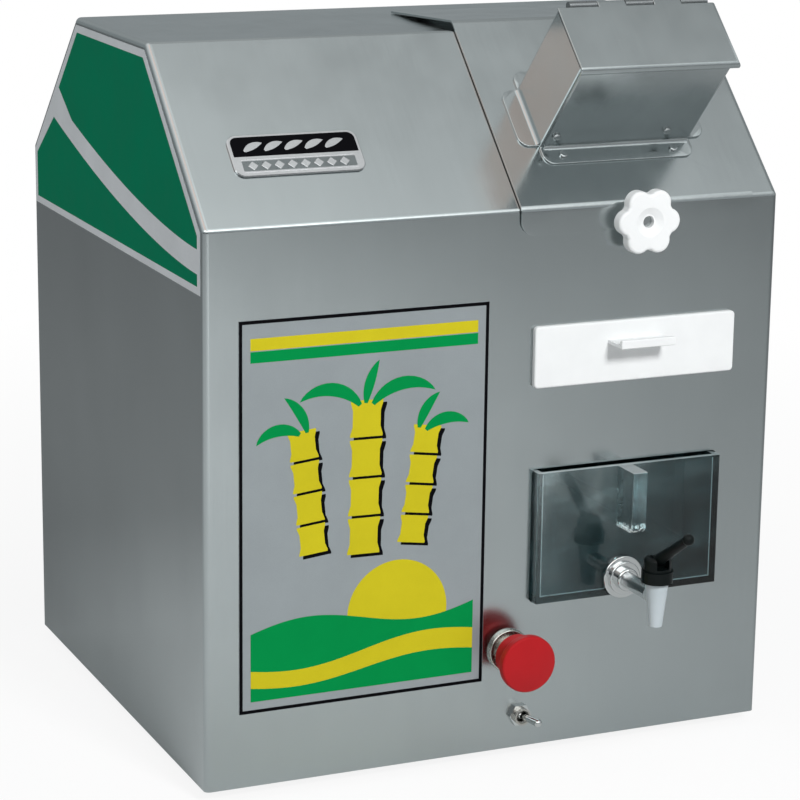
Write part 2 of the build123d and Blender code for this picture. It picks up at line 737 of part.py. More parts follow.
# Feed cover: a lip on the front wall, a sheet up the slope and a crown that leans back to rest on the top
COVER_ACROSS = about(MILL_X, COVER_W)
COVER_LOW = SHOULDER_H - COVER_LIP
COVER_BACK = MILL_OPENING_BACK + COVER_REST
COVER_LINE = [
    (-COVER_GAP, COVER_LOW),
    (-COVER_GAP, SHOULDER_H + COVER_GAP * (1 - SLOPE_SIN) / SLOPE_COS),
    ((SLOPE_COS * (SLOPE_RISE + COVER_CROWN) - COVER_GAP) / SLOPE_SIN, TOP_H + COVER_CROWN),
    (COVER_BACK, TOP_H + SLIDE_GAP),
]
with BuildPart() as feed_cover:
    with BuildSketch(side_plane.offset(COVER_ACROSS[0])):
        with BuildLine():
            FilletPolyline(*COVER_LINE, radius=BEND_R + COVER_GAP)
            offset(amount=COVER_T, side=Side.LEFT)
        make_face()
    extrude(amount=COVER_W)
    lip_corners = feed_cover.edges().filter_by(Axis.Y).group_by(Axis.Z)[0]
    fillet(lip_corners, COVER_LIP_CORNER)
    # joggled tongues, which slip below the rear rim of the cabinet's opening
    tongue_top = TOP_H - SHEET - SLIDE_GAP
    riser = (MILL_OPENING_BACK - 3 * SHEET, MILL_OPENING_BACK - 2 * SHEET)
    for side in (-1, 1):
        tongue = about(MILL_X + side * TONGUE_SPREAD / 2, TONGUE_W)
        bar(tongue, riser, (tongue_top - SHEET, TOP_H + COVER_T))
        bar(tongue, (riser[0], riser[1] + TONGUE_REACH), (tongue_top - SHEET, tongue_top))
    slab(slope_plane, THROAT_ACROSS, THROAT_ALONG, (0, 2 * COVER_OUT), mode=Mode.SUBTRACT)
    disc(front_plane, KNOB_AT, STUD_R + STUD_CLEARANCE, (0, 2 * COVER_OUT), mode=Mode.SUBTRACT)
    for place in FLANGE_SCREWS:
        disc(slope_plane, place, SCREW_R + FIT, (0, 2 * COVER_OUT), mode=Mode.SUBTRACT)
feed_cover.part.label = "feed_cover"
export_step(feed_cover.part, "parts/feed_cover.step")

# Gasket strip round three sides of the opening, under the cover's sloped sheet
with BuildPart() as cover_gasket:
    opening_low = MILL_OPENING_LOW / SLOPE_COS
    gasket_out = (0, GASKET_T)
    slab(
        slope_plane,
        about(MILL_X, MILL_OPENING_W + 2 * GASKET_W),
        (opening_low - GASKET_W, SLOPE_LEN - 2 * BEND_R),
        gasket_out,
    )
    slab(
        slope_plane,
        about(MILL_X, MILL_OPENING_W),
        (opening_low, SLOPE_LEN),
        gasket_out,
        mode=Mode.SUBTRACT,
    )
cover_gasket.part.label = "cover_gasket"
export_step(cover_gasket.part, "parts/cover_gasket.step")

# Feed chute: a folded tube with flanges bent out on all four sides
def flange_bend(x, along, outward, length):
    """Inside round of a bend between the chute's wall and a flange, from its start on the slope."""
    start = slope_plane.from_local_coords((x, along, COVER_OUT + CHUTE_T))
    across_bend = Plane(origin=start, x_dir=outward, z_dir=outward.cross(slope_plane.z_dir))
    sunk = CHUTE_T / 2
    with BuildSketch(across_bend) as outline:
        with BuildLine():
            CenterArc((FLANGE_BEND, FLANGE_BEND), FLANGE_BEND, 180, 90)
            Polyline(
                (FLANGE_BEND, 0),
                (FLANGE_BEND, -sunk),
                (-sunk, -sunk),
                (-sunk, FLANGE_BEND),
                (0, FLANGE_BEND),
            )
        make_face()
    extrude(outline.sketch, amount=length)


with BuildPart() as feed_chute:
    flange_out = (COVER_OUT, COVER_OUT + CHUTE_T)
    slab(
        slope_plane,
        CHUTE_ACROSS,
        (CHUTE_ALONG[0] - FLANGE_W, CHUTE_ALONG[0] + FLANGE_OVERLAP),
        flange_out,
        corner=FLANGE_CORNER,
    )
    slab(
        slope_plane,
        CHUTE_ACROSS,
        (CHUTE_ALONG[1] - FLANGE_OVERLAP, CHUTE_ALONG[1] + FLANGE_W),
        flange_out,
        corner=FLANGE_CORNER,
    )
    slab(
        slope_plane,
        (CHUTE_ACROSS[0] - FLANGE_W, CHUTE_ACROSS[1] + FLANGE_W),
        (CHUTE_ALONG[0] + FLANGE_TRIM / 2, CHUTE_ALONG[1] - FLANGE_TRIM / 2),
        flange_out,
        corner=FLANGE_CORNER,
    )
    flange_face = feed_chute.faces().sort_by(Axis((0, 0, 0), slope_plane.z_dir))[-1]
    chamfer(flange_face.edges(), FLANGE_EDGE)
    slab(slope_plane, CHUTE_ACROSS, CHUTE_ALONG, (COVER_OUT, CHUTE_H), corner=CHUTE_BEND)
    bend_across = CHUTE_W - 2 * CHUTE_BEND
    bend_along = CHUTE_L - 2 * CHUTE_BEND
    slope_x, slope_y = slope_plane.x_dir, slope_plane.y_dir
    flange_bend(CHUTE_ACROSS[1] - CHUTE_BEND, CHUTE_ALONG[0], -slope_y, bend_across)
    flange_bend(CHUTE_ACROSS[0] + CHUTE_BEND, CHUTE_ALONG[1], slope_y, bend_across)
    flange_bend(CHUTE_ACROSS[0], CHUTE_ALONG[0] + CHUTE_BEND, -slope_x, bend_along)
    flange_bend(CHUTE_ACROSS[1], CHUTE_ALONG[1] - CHUTE_BEND, slope_x, bend_along)
    slab(slope_plane, THROAT_ACROSS, THROAT_ALONG, (0, 2 * CHUTE_H), mode=Mode.SUBTRACT)
    for place in FLANGE_SCREWS:
        disc(slope_plane, place, SCREW_R + FIT, (0, 2 * COVER_OUT), mode=Mode.SUBTRACT)
    front_wall = Plane(
        origin=slope_plane.from_local_coords((0, CHUTE_ALONG[0], 0)),
        x_dir=(1, 0, 0),
        z_dir=-slope_plane.y_dir,
    )
    for place in GUIDE_SCREWS:
        disc(front_wall, place, SCREW_R + FIT, (-2 * CHUTE_T, CHUTE_T), mode=Mode.SUBTRACT)
feed_chute.part.label = "feed_chute"
export_step(feed_chute.part, "parts/feed_chute.step")

# Chute screws: four through the flanges, two that hold the guide plate
with BuildPart() as chute_screws:
    for place in FLANGE_SCREWS:
        disc(slope_plane, place, SCREW_HEAD_R, (flange_out[1], flange_out[1] + SCREW_HEAD_H))
        disc(slope_plane, place, SCREW_R, (COVER_GAP - SCREW_NUT_H, flange_out[1]))
        hexagon(slope_plane, place, SCREW_NUT_R, (COVER_GAP - SCREW_NUT_H, COVER_GAP))
    for place in GUIDE_SCREWS:
        disc(front_wall, place, SCREW_HEAD_R, (0, SCREW_HEAD_H))
        disc(front_wall, place, SCREW_R, (-CHUTE_T - GUIDE_T, 0))
    heads = chute_screws.faces().filter_by(lambda face: abs(face.area - pi * SCREW_HEAD_R**2) < 1)
    fillet(heads.edges(), SCREW_HEAD_H / 2)
chute_screws.part.label = "chute_screws"
export_step(chute_screws.part, "parts/chute_screws.step")

# Guide plate inside the chute's front wall, which leads the cane towards the nip
with BuildPart() as feed_guide:
    slab(
        slope_plane,
        (THROAT_ACROSS[0] + GUIDE_SIDE_GAP, THROAT_ACROSS[1] - GUIDE_SIDE_GAP),
        (THROAT_ALONG[0], THROAT_ALONG[0] + GUIDE_T),
        (-GUIDE_DROP, GUIDE_TOP),
    )
    for place in GUIDE_SCREWS:
        disc(front_wall, place, SCREW_R + FIT, (-CHUTE_T - 2 * GUIDE_T, 0), mode=Mode.SUBTRACT)
feed_guide.part.label = "feed_guide"
export_step(feed_guide.part, "parts/feed_guide.step")

# Lid hinge: the fixed leaf and the lid take turns along the pin
LID_TOP = CHUTE_H + LID_GAP + LID_T
LID_ACROSS = (CHUTE_ACROSS[0], CHUTE_ACROSS[1] + LID_RIGHT)
LID_ALONG = (CHUTE_ALONG[0] - LID_FRONT, CHUTE_ALONG[1])
HINGE_AT = (CHUTE_ALONG[1] + HINGE_R + HINGE_END_GAP, LID_TOP - HINGE_R)
KNUCKLE_W = HINGE_W / HINGE_KNUCKLES
HINGE_LEFT = CHUTE_X + HINGE_SHIFT - HINGE_W / 2
HINGE_CENTRE = below_slope(HINGE_AT[0], -HINGE_AT[1])


def knuckle(index):
    """Span across of one knuckle of the hinge."""
    left = HINGE_LEFT + index * KNUCKLE_W
    return (left + HINGE_END_GAP / 2, left + KNUCKLE_W - HINGE_END_GAP / 2)


with BuildPart() as hinge_leaf:
    slab(
        slope_plane,
        (HINGE_LEFT, HINGE_LEFT + HINGE_W),
        (CHUTE_ALONG[1], CHUTE_ALONG[1] + HINGE_LEAF_T),
        (HINGE_AT[1] - HINGE_LEAF_W, HINGE_AT[1] - HINGE_R - HINGE_END_GAP),
    )
    for index in range(0, HINGE_KNUCKLES, 2):
        slab(
            slope_plane,
            knuckle(index),
            (CHUTE_ALONG[1], CHUTE_ALONG[1] + HINGE_LEAF_T),
            (HINGE_AT[1] - HINGE_LEAF_W, HINGE_AT[1]),
        )
        disc(side_plane, HINGE_CENTRE, HINGE_R, knuckle(index))
    disc(side_plane, HINGE_CENTRE, HINGE_PIN_R + FIT, (HINGE_LEFT, HINGE_LEFT + HINGE_W), mode=Mode.SUBTRACT)
hinge_leaf.part.label = "hinge_leaf"
export_step(hinge_leaf.part, "parts/hinge_leaf.step")

with BuildPart() as hinge_pin:
    disc(side_plane, HINGE_CENTRE, HINGE_PIN_R, (HINGE_LEFT, HINGE_LEFT + HINGE_W))
hinge_pin.part.label = "hinge_pin"
export_step(hinge_pin.part, "parts/hinge_pin.step")

# Chute lid: a plate folded down in front and on the right, with its rear edge rolled into knuckles
with BuildPart() as chute_lid:
    slab(slope_plane, LID_ACROSS, LID_ALONG, (LID_TOP - LID_SKIRT, LID_TOP))
    lid_face = chute_lid.faces().sort_by(Axis((0, 0, 0), slope_plane.z_dir))[-1]
    front_fold = lid_face.edges().sort_by(Axis((0, 0, 0), slope_plane.y_dir))[0]
    right_fold = lid_face.edges().sort_by(Axis.X)[-1]
    fillet([front_fold, right_fold], LID_ROUND)
    slab(
        slope_plane,
        (LID_ACROSS[0], LID_ACROSS[1] - LID_T),
        (LID_ALONG[0] + LID_T, LID_ALONG[1]),
        (LID_TOP - LID_SKIRT, LID_TOP - LID_T),
        mode=Mode.SUBTRACT,
    )
    for index in range(1, HINGE_KNUCKLES, 2):
        slab(slope_plane, knuckle(index), (LID_ALONG[1], HINGE_AT[0]), (LID_TOP - LID_T, LID_TOP))
        disc(side_plane, HINGE_CENTRE, HINGE_R, knuckle(index))
    disc(
        side_plane,
        HINGE_CENTRE,
        HINGE_PIN_R + RUNNING,
        (HINGE_LEFT, HINGE_LEFT + HINGE_W),
        mode=Mode.SUBTRACT,
    )
chute_lid.part.label = "chute_lid"
export_step(chute_lid.part, "parts/chute_lid.step")

# Star knob with a hub that nearly meets the cover
STUD_END = KNOB_BACK + KNOB_T - KNOB_RECESS - STUD_SINK
with BuildPart() as star_knob:
    with BuildSketch(front_plane.offset(KNOB_BACK)) as star:
        with Locations(KNOB_AT):
            Circle(KNOB_CORE_R)
            with PolarLocations(KNOB_LOBE_AT, KNOB_LOBES):
                Circle(KNOB_LOBE_R)
        fillet(star.vertices(), KNOB_VALLEY_R)
    extrude(amount=KNOB_T)
    fillet(star_knob.faces().sort_by(Axis.Y)[0].edges(), KNOB_ROUND)
    fillet(star_knob.faces().sort_by(Axis.Y)[-1].edges(), KNOB_ROUND)
    disc(front_plane, KNOB_AT, KNOB_HUB_R, (COVER_OUT + SLIDE_GAP, KNOB_BACK))
    with Locations(front_plane.location * Pos(*KNOB_AT, KNOB_BACK + KNOB_T - KNOB_RECESS / 2)):
        Cone(KNOB_RECESS_R / 2, KNOB_RECESS_R, KNOB_RECESS, mode=Mode.SUBTRACT)
    disc(front_plane, KNOB_AT, STUD_R + FIT, (0, KNOB_BACK + KNOB_T), mode=Mode.SUBTRACT)
star_knob.part.label = "star_knob"
export_step(star_knob.part, "parts/star_knob.step")

# Stud moulded into the knob
with BuildPart() as knob_stud:
    disc(front_plane, KNOB_AT, STUD_R, (-STUD_IN, STUD_END))
    chamfer(knob_stud.faces().sort_by(Axis.Y)[-1].edges(), STUD_CLEARANCE)
knob_stud.part.label = "knob_stud"
export_step(knob_stud.part, "parts/knob_stud.step")

# Nut for the stud, behind the front wall
with BuildPart() as knob_nut:
    nut_span = (-SHEET - NUT_H, -SHEET)
    hexagon(front_plane, KNOB_AT, NUT_R, nut_span)
    disc(front_plane, KNOB_AT, STUD_R + SLIDE_GAP, nut_span, mode=Mode.SUBTRACT)
knob_nut.part.label = "knob_nut"
export_step(knob_nut.part, "parts/knob_nut.step")

# Drawer front
DRAWER_FACE = SLIDE_GAP + DRAWER_FRONT_T
with BuildPart() as drawer_front:
    slab(front_plane, DRAWER_ACROSS, DRAWER_SPAN, (SLIDE_GAP, DRAWER_FACE), corner=DRAWER_CORNER)
    fillet(drawer_front.faces().sort_by(Axis.Y)[0].edges(), DRAWER_FRONT_T / 3)
drawer_front.part.label = "drawer_front"
export_step(drawer_front.part, "parts/drawer_front.step")

# Drawer tray with a ledge along each side for the strainer and an outlet in its floor
TRAY_INSIDE = (TRAY_ACROSS[0] + DRAWER_WALL, TRAY_ACROSS[1] - DRAWER_WALL)
TRAY_DEEP = (DRAWER_WALL - SLIDE_GAP, DRAWER_L - DRAWER_WALL)
TRAY_FLOOR = TRAY_SPAN[0] + DRAWER_WALL
STRAINER_H = TRAY_FLOOR + STRAINER_UP
with BuildPart() as drawer_tray:
    bar(TRAY_ACROSS, (-SLIDE_GAP, DRAWER_L), TRAY_SPAN)
    bar(TRAY_INSIDE, TRAY_DEEP, (TRAY_FLOOR, TRAY_SPAN[1]), mode=Mode.SUBTRACT)
    bar((TRAY_INSIDE[0], TRAY_INSIDE[0] + STRAINER_RIB), TRAY_DEEP, (TRAY_FLOOR, STRAINER_H))
    bar((TRAY_INSIDE[1] - STRAINER_RIB, TRAY_INSIDE[1]), TRAY_DEEP, (TRAY_FLOOR, STRAINER_H))
    bar(
        about(MILL_X, DRAWER_OUTLET_W),
        about(DRAWER_L / 2, DRAWER_OUTLET_L),
        (TRAY_SPAN[0], TRAY_FLOOR),
        mode=Mode.SUBTRACT,
    )
drawer_tray.part.label = "drawer_tray"
export_step(drawer_tray.part, "parts/drawer_tray.step")

# Strainer screen lying on the ledges
with BuildPart() as strainer_screen:
    screen_across = (TRAY_INSIDE[0] + SLIDE_GAP, TRAY_INSIDE[1] - SLIDE_GAP)
    screen_deep = (TRAY_DEEP[0] + SLIDE_GAP, TRAY_DEEP[1] - SLIDE_GAP)
    holes_across = int((screen_across[1] - screen_across[0] - 2 * STRAINER_RIB) / STRAINER_PITCH)
    holes_deep = int((screen_deep[1] - screen_deep[0] - 2 * STRAINER_RIB) / STRAINER_PITCH)
    with BuildSketch(floor_plane.offset(STRAINER_H)):
        with Locations((middle(screen_across), middle(screen_deep))):
            Rectangle(screen_across[1] - screen_across[0], screen_deep[1] - screen_deep[0])
            with GridLocations(STRAINER_PITCH, STRAINER_PITCH, holes_across, holes_deep):
                Circle(STRAINER_HOLE_R, mode=Mode.SUBTRACT)
    extrude(amount=STRAINER_T)
strainer_screen.part.label = "strainer_screen"
export_step(strainer_screen.part, "parts/strainer_screen.step")

# Drawer handle: a ledge with an upturned lip
HANDLE_LOW = DRAWER_LOW + HANDLE_UP
HANDLE_END = -DRAWER_FACE - HANDLE_OUT
with BuildPart() as drawer_handle:
    handle_points = [
        (-DRAWER_FACE, HANDLE_LOW),
        (HANDLE_END, HANDLE_LOW),
        (HANDLE_END, HANDLE_LOW + HANDLE_LIP),
        (HANDLE_END + HANDLE_T, HANDLE_LOW + HANDLE_LIP),
        (HANDLE_END + HANDLE_T, HANDLE_LOW + HANDLE_T),
        (-DRAWER_FACE, HANDLE_LOW + HANDLE_T),
    ]
    profile(handle_points, about(MILL_X + HANDLE_SHIFT, HANDLE_W))
    lip_edges = drawer_handle.edges().filter_by(Axis.X).group_by(Axis.Y)[0]
    fillet(lip_edges, HANDLE_T / 3)
    fillet(drawer_handle.edges().filter_by(Axis.Y).group_by(Axis.Z)[-1], HANDLE_T / 3)
drawer_handle.part.label = "drawer_handle"
export_step(drawer_handle.part, "parts/drawer_handle.step")

# Drawer runners fixed to the mill's side plates
RUNNER_TOP = TRAY_SPAN[0] - SLIDE_GAP
with BuildPart() as drawer_runners:
    runner_deep = (RUNNER_FRONT, DRAWER_L)
    ledge_h = (RUNNER_TOP - RUNNER_T, RUNNER_TOP)
    guide_h = (RUNNER_TOP - RUNNER_T, RUNNER_TOP - RUNNER_T + RUNNER_H)
    bar((CHAMBER[0], TRAY_ACROSS[0] + RUNNER_LEDGE), runner_deep, ledge_h)
    bar((CHAMBER[0], TRAY_ACROSS[0] - 2 * SLIDE_GAP), runner_deep, guide_h)
    bar((TRAY_ACROSS[1] - RUNNER_LEDGE, CHAMBER[1]), runner_deep, ledge_h)
    bar((TRAY_ACROSS[1] + 2 * SLIDE_GAP, CHAMBER[1]), runner_deep, guide_h)
drawer_runners.part.label = "drawer_runners"
export_step(drawer_runners.part, "parts/drawer_runners.step")

# Clear juice tank, open on top
with BuildPart() as juice_tank:
    bar(TANK_ACROSS, TANK_DEEP, TANK_SPAN)
    fillet(juice_tank.edges().filter_by(Axis.Z), TANK_WALL / 4)
    bar(
        (TANK_ACROSS[0] + TANK_WALL, TANK_ACROSS[1] - TANK_WALL),
        (TANK_DEEP[0] + TANK_WALL, TANK_DEEP[1] - TANK_WALL),
        (TANK_SPAN[0] + TANK_FLOOR, TANK_SPAN[1]),
        mode=Mode.SUBTRACT,
    )
    disc(
        front_plane,
        (TAP_X, TAP_H),
        SHANK_R + FIT,
        (TANK_OUT - TANK_WALL, TANK_OUT),
        mode=Mode.SUBTRACT,
    )
juice_tank.part.label = "juice_tank"
export_step(juice_tank.part, "parts/juice_tank.step")

# Clear pull handle bonded to the tank
with BuildPart() as tank_handle:
    slab(
        front_plane,
        about(TAP_X, PULL_W),
        (TANK_SPAN[1] - PULL_H, TANK_SPAN[1]),
        (TANK_OUT, TANK_OUT + PULL_OUT),
    )
    pull_face = tank_handle.faces().sort_by(Axis.Y)[0]
    fillet(pull_face.edges().sort_by(Axis.Z)[0], PULL_ROUND)
    fillet(tank_handle.faces().sort_by(Axis.Y)[0].edges().sort_by(Axis.Z)[1:], TANK_WALL / 4)
tank_handle.part.label = "tank_handle"
export_step(tank_handle.part, "parts/tank_handle.step")

# Shelf under the tank, with side guides and a rear stop
SHELF_TOP = TANK_LOW - SLIDE_GAP
with BuildPart() as tank_shelf:
    stop_deep = (TANK_L + SLIDE_GAP, TANK_L + SLIDE_GAP + SHELF_STOP)
    guide_span = (SHELF_TOP, SHELF_TOP + SHELF_GUIDE_H)
    bar(CHAMBER, (SHELF_FRONT, stop_deep[1]), (SHELF_TOP - SHELF_T, SHELF_TOP))
    bar((CHAMBER[0], TANK_ACROSS[0] - 2 * SLIDE_GAP), (SHELF_FRONT, stop_deep[1]), guide_span)
    bar((TANK_ACROSS[1] + 2 * SLIDE_GAP, CHAMBER[1]), (SHELF_FRONT, stop_deep[1]), guide_span)
    bar(TANK_ACROSS, stop_deep, guide_span)
tank_shelf.part.label = "tank_shelf"
export_step(tank_shelf.part, "parts/tank_shelf.step")

# Chrome collar in stepped rings on the tank's front
TAP_AT = (TAP_X, TAP_H)
with BuildPart() as tap_collar:
    collar_out = TANK_OUT
    for step_r, step_l in COLLAR_STEPS:
        disc(front_plane, TAP_AT, step_r, (collar_out, collar_out + step_l))
        collar_out += step_l
        ring_face = tap_collar.faces().sort_by(Axis.Y)[0]
        fillet(ring_face.edges(), step_l / 3)
    disc(front_plane, TAP_AT, SHANK_R + FIT, (TANK_OUT, collar_out), mode=Mode.SUBTRACT)
tap_collar.part.label = "tap_collar"
export_step(tap_collar.part, "parts/tap_collar.step")

# Tap body: a shank through the tank's wall, a tapered nozzle and a spigot for the bonnet
SPIGOT_TOP = BONNET_LOW + SPIGOT_H
SHANK_END = TANK_OUT - TANK_WALL - SHANK_IN
with BuildPart() as tap_body:
    with Locations(point(*TAP_AXIS, NOZZLE_LOW + NOZZLE_L / 2)):
        Cone(NOZZLE_LOW_R, NOZZLE_TOP_R, NOZZLE_L)
    disc(floor_plane, TAP_AXIS, SPIGOT_R, (BONNET_LOW, SPIGOT_TOP))
    disc(front_plane, TAP_AT, SHANK_R, (SHANK_END, TAP_OUT))
    disc(floor_plane, TAP_AXIS, NOZZLE_BORE_R, (NOZZLE_LOW, SEAT_H), mode=Mode.SUBTRACT)
    disc(floor_plane, TAP_AXIS, CHAMBER_R, (SEAT_H, SPIGOT_TOP), mode=Mode.SUBTRACT)
    disc(front_plane, TAP_AT, SHANK_BORE_R, (SHANK_END, TAP_OUT), mode=Mode.SUBTRACT)
tap_body.part.label = "tap_body"
export_step(tap_body.part, "parts/tap_body.step")

# Back nut on the shank, inside the tank
with BuildPart() as tap_back_nut:
    nut_out = (TANK_OUT - TANK_WALL - BACK_NUT_H, TANK_OUT - TANK_WALL)
    disc(front_plane, TAP_AT, BACK_NUT_R, nut_out)
    disc(front_plane, TAP_AT, SHANK_R + FIT, nut_out, mode=Mode.SUBTRACT)
tap_back_nut.part.label = "tap_back_nut"
export_step(tap_back_nut.part, "parts/tap_back_nut.step")

# Bonnet: a ring over the spigot, a web that guides the stem, two cheeks for the lever and a sill in front
BONNET_TOP = BONNET_LOW + BONNET_RING_H + BONNET_H
SLOT_LOW = SPIGOT_TOP + BONNET_WEB
PIN_REACH = BONNET_R - SHEET
with BuildPart() as tap_bonnet:
    disc(floor_plane, TAP_AXIS, BONNET_R, (BONNET_LOW, BONNET_TOP))
    fillet(tap_bonnet.faces().sort_by(Axis.Z)[-1].edges(), BONNET_ROUND)
    disc(floor_plane, TAP_AXIS, BONNET_RING_R, (BONNET_LOW, BONNET_LOW + BONNET_RING_H))
    bar(
        about(TAP_X, BONNET_SLOT_W),
        (-TAP_OUT - BONNET_SLOT_FRONT, -TAP_OUT + BONNET_SLOT_BACK),
        (SLOT_LOW, BONNET_TOP),
        mode=Mode.SUBTRACT,
    )
    bar(
        about(TAP_X, BONNET_SLOT_W),
        (-TAP_OUT - 2 * BONNET_R, -TAP_OUT),
        (LEVER_PIN[1] - LEVER_HUB_R - SLIDE_GAP, BONNET_TOP),
        mode=Mode.SUBTRACT,
    )
    disc(floor_plane, TAP_AXIS, SPIGOT_R + FIT, (BONNET_LOW, SPIGOT_TOP), mode=Mode.SUBTRACT)
    disc(floor_plane, TAP_AXIS, STEM_R + RUNNING, (SPIGOT_TOP, SLOT_LOW), mode=Mode.SUBTRACT)
    disc(
        side_plane,
        LEVER_PIN,
        LEVER_PIN_R + RUNNING,
        (TAP_X - PIN_REACH, TAP_X + PIN_REACH),
        mode=Mode.SUBTRACT,
    )
tap_bonnet.part.label = "tap_bonnet"
export_step(tap_bonnet.part, "parts/tap_bonnet.step")

# Tap lever: a hub with trunnions and the cam that frees the stem, and a round arm with a ball end
LEVER_TIP = away(LEVER_PIN, LEVER_LEN, 180 - LEVER_ANGLE)
LEVER_MIDDLE = away(LEVER_PIN, LEVER_LEN / 2, 180 - LEVER_ANGLE)
LEVER_WAY = (0, -cos(radians(LEVER_ANGLE)), sin(radians(LEVER_ANGLE)))
with BuildPart() as tap_lever:
    with BuildSketch(side_plane.offset(TAP_X - LEVER_W / 2)):
        with Locations(LEVER_PIN):
            Circle(LEVER_HUB_R)
        with Locations(away(LEVER_PIN, LEVER_CAM_OFF, LEVER_CAM_ANGLE)):
            Circle(LEVER_CAM_R)
    extrude(amount=LEVER_W)
    with Locations(Plane(origin=point(TAP_X, *LEVER_MIDDLE), z_dir=LEVER_WAY)):
        Cone(LEVER_ARM_R, LEVER_NECK_R, LEVER_LEN)
    with Locations(point(TAP_X, *LEVER_TIP)):
        Sphere(LEVER_TIP_R)
    disc(side_plane, LEVER_PIN, LEVER_PIN_R, (TAP_X - PIN_REACH + SLIDE_GAP, TAP_X + PIN_REACH - SLIDE_GAP))
tap_lever.part.label = "tap_lever"
export_step(tap_lever.part, "parts/tap_lever.step")

# Tap stem with the plug that closes the seat
CAM_LOW = LEVER_PIN[1] + LEVER_CAM_OFF * sin(radians(LEVER_CAM_ANGLE)) - LEVER_CAM_R
with BuildPart() as tap_stem:
    plug_low = SEAT_H + RUNNING
    disc(floor_plane, TAP_AXIS, STEM_PLUG_R, (plug_low, plug_low + STEM_PLUG_H))
    disc(floor_plane, TAP_AXIS, STEM_R, (plug_low, CAM_LOW - SLIDE_GAP))
tap_stem.part.label = "tap_stem"
export_step(tap_stem.part, "parts/tap_stem.step")

# Emergency stop: bezel and threaded barrel
with BuildPart() as estop_barrel:
    disc(front_plane, ESTOP_AT, ESTOP_BEZEL_R, (0, ESTOP_BEZEL_T))
    fillet(estop_barrel.faces().sort_by(Axis.Y)[0].edges(), ESTOP_BEZEL_T / 3)
    barrel_out = (-ESTOP_BARREL_IN, ESTOP_BARREL_OUT)
    disc(front_plane, ESTOP_AT, ESTOP_BARREL_R, barrel_out)
    disc(front_plane, ESTOP_AT, ESTOP_STEM_R + RUNNING, barrel_out, mode=Mode.SUBTRACT)
estop_barrel.part.label = "estop_barrel"
export_step(estop_barrel.part, "parts/estop_barrel.step")

# Emergency stop stem, which slides in the barrel
ESTOP_STEM_END = ESTOP_POCKET_AT + ESTOP_STEM_GRIP
with BuildPart() as estop_stem:
    disc(front_plane, ESTOP_AT, ESTOP_STEM_R, (-ESTOP_BARREL_IN, ESTOP_STEM_END))
estop_stem.part.label = "estop_stem"
export_step(estop_stem.part, "parts/estop_stem.step")

# Contact block behind the barrel, with room for the stem's stroke
with BuildPart() as estop_contact_block:
    block_out = (-ESTOP_BARREL_IN - ESTOP_BLOCK_L, -ESTOP_BARREL_IN)
    slab(front_plane, about(ESTOP_X, ESTOP_BLOCK_W), about(ESTOP_H, ESTOP_BLOCK_H), block_out)
    disc(
        front_plane,
        ESTOP_AT,
        ESTOP_STEM_R + SHEET,
        (block_out[1] - ESTOP_STEM_GRIP, block_out[1]),
        mode=Mode.SUBTRACT,
    )
estop_contact_block.part.label = "estop_contact_block"
export_step(estop_contact_block.part, "parts/estop_contact_block.step")

# Mushroom head, turned about the stem
with BuildPart() as estop_cap:
    turning = Plane(origin=point(ESTOP_X, 0, ESTOP_H), x_dir=(1, 0, 0), z_dir=(0, 0, -1))
    with BuildSketch(turning) as half:
        with BuildLine():
            Polyline(
                (0, ESTOP_CAP_FRONT),
                (0, ESTOP_POCKET_AT),
                (ESTOP_POCKET_R, ESTOP_POCKET_AT),
                (ESTOP_POCKET_R, ESTOP_CAP_BACK),
                (ESTOP_NECK_R, ESTOP_CAP_BACK),
                (ESTOP_WAIST_R, ESTOP_WAIST_AT),
                (ESTOP_CAP_R, ESTOP_CAP_RIM),
                (ESTOP_CAP_R, ESTOP_CAP_FRONT - ESTOP_DOME),
            )
            TangentArc((0, ESTOP_CAP_FRONT), (ESTOP_CAP_R, ESTOP_CAP_FRONT - ESTOP_DOME), tangent=(1, 0))
        make_face()
        fillet(half.vertices().sort_by(Axis.X)[-2:], ESTOP_RIM_ROUND)
    revolve(axis=Axis(turning.origin, (0, -1, 0)))
    disc(front_plane, ESTOP_AT, ESTOP_STEM_R + RUNNING, (0, ESTOP_STEM_END), mode=Mode.SUBTRACT)
estop_cap.part.label = "estop_cap"
export_step(estop_cap.part, "parts/estop_cap.step")

# Toggle switch: nut, body with its bushing, and the bat lever on a ball
with BuildPart() as toggle_nut:
    hexagon(front_plane, TOGGLE_AT, TOGGLE_NUT_FLATS / sqrt(3), (0, TOGGLE_NUT_T))
    disc(front_plane, TOGGLE_AT, TOGGLE_BUSH_R + FIT, (0, TOGGLE_NUT_T), mode=Mode.SUBTRACT)
toggle_nut.part.label = "toggle_nut"
export_step(toggle_nut.part, "parts/toggle_nut.step")

with BuildPart() as toggle_body:
    body_w, body_h, body_l = TOGGLE_BODY
    slab(
        front_plane,
        about(TOGGLE_X, body_w),
        about(TOGGLE_H, body_h),
        (-TOGGLE_BACK - body_l, -TOGGLE_BACK),
    )
    disc(front_plane, TOGGLE_AT, TOGGLE_BUSH_R, (-TOGGLE_BACK, TOGGLE_BUSH_OUT))
    disc(front_plane, TOGGLE_AT, TOGGLE_BORE_R, (-TOGGLE_BACK, TOGGLE_BUSH_OUT), mode=Mode.SUBTRACT)
    flare = TOGGLE_FLARE_R - TOGGLE_BORE_R
    with Locations(front_plane.location * Pos(*TOGGLE_AT, TOGGLE_BUSH_OUT - flare / 2)):
        Cone(TOGGLE_BORE_R, TOGGLE_FLARE_R, flare, mode=Mode.SUBTRACT)
toggle_body.part.label = "toggle_body"
export_step(toggle_body.part, "parts/toggle_body.step")

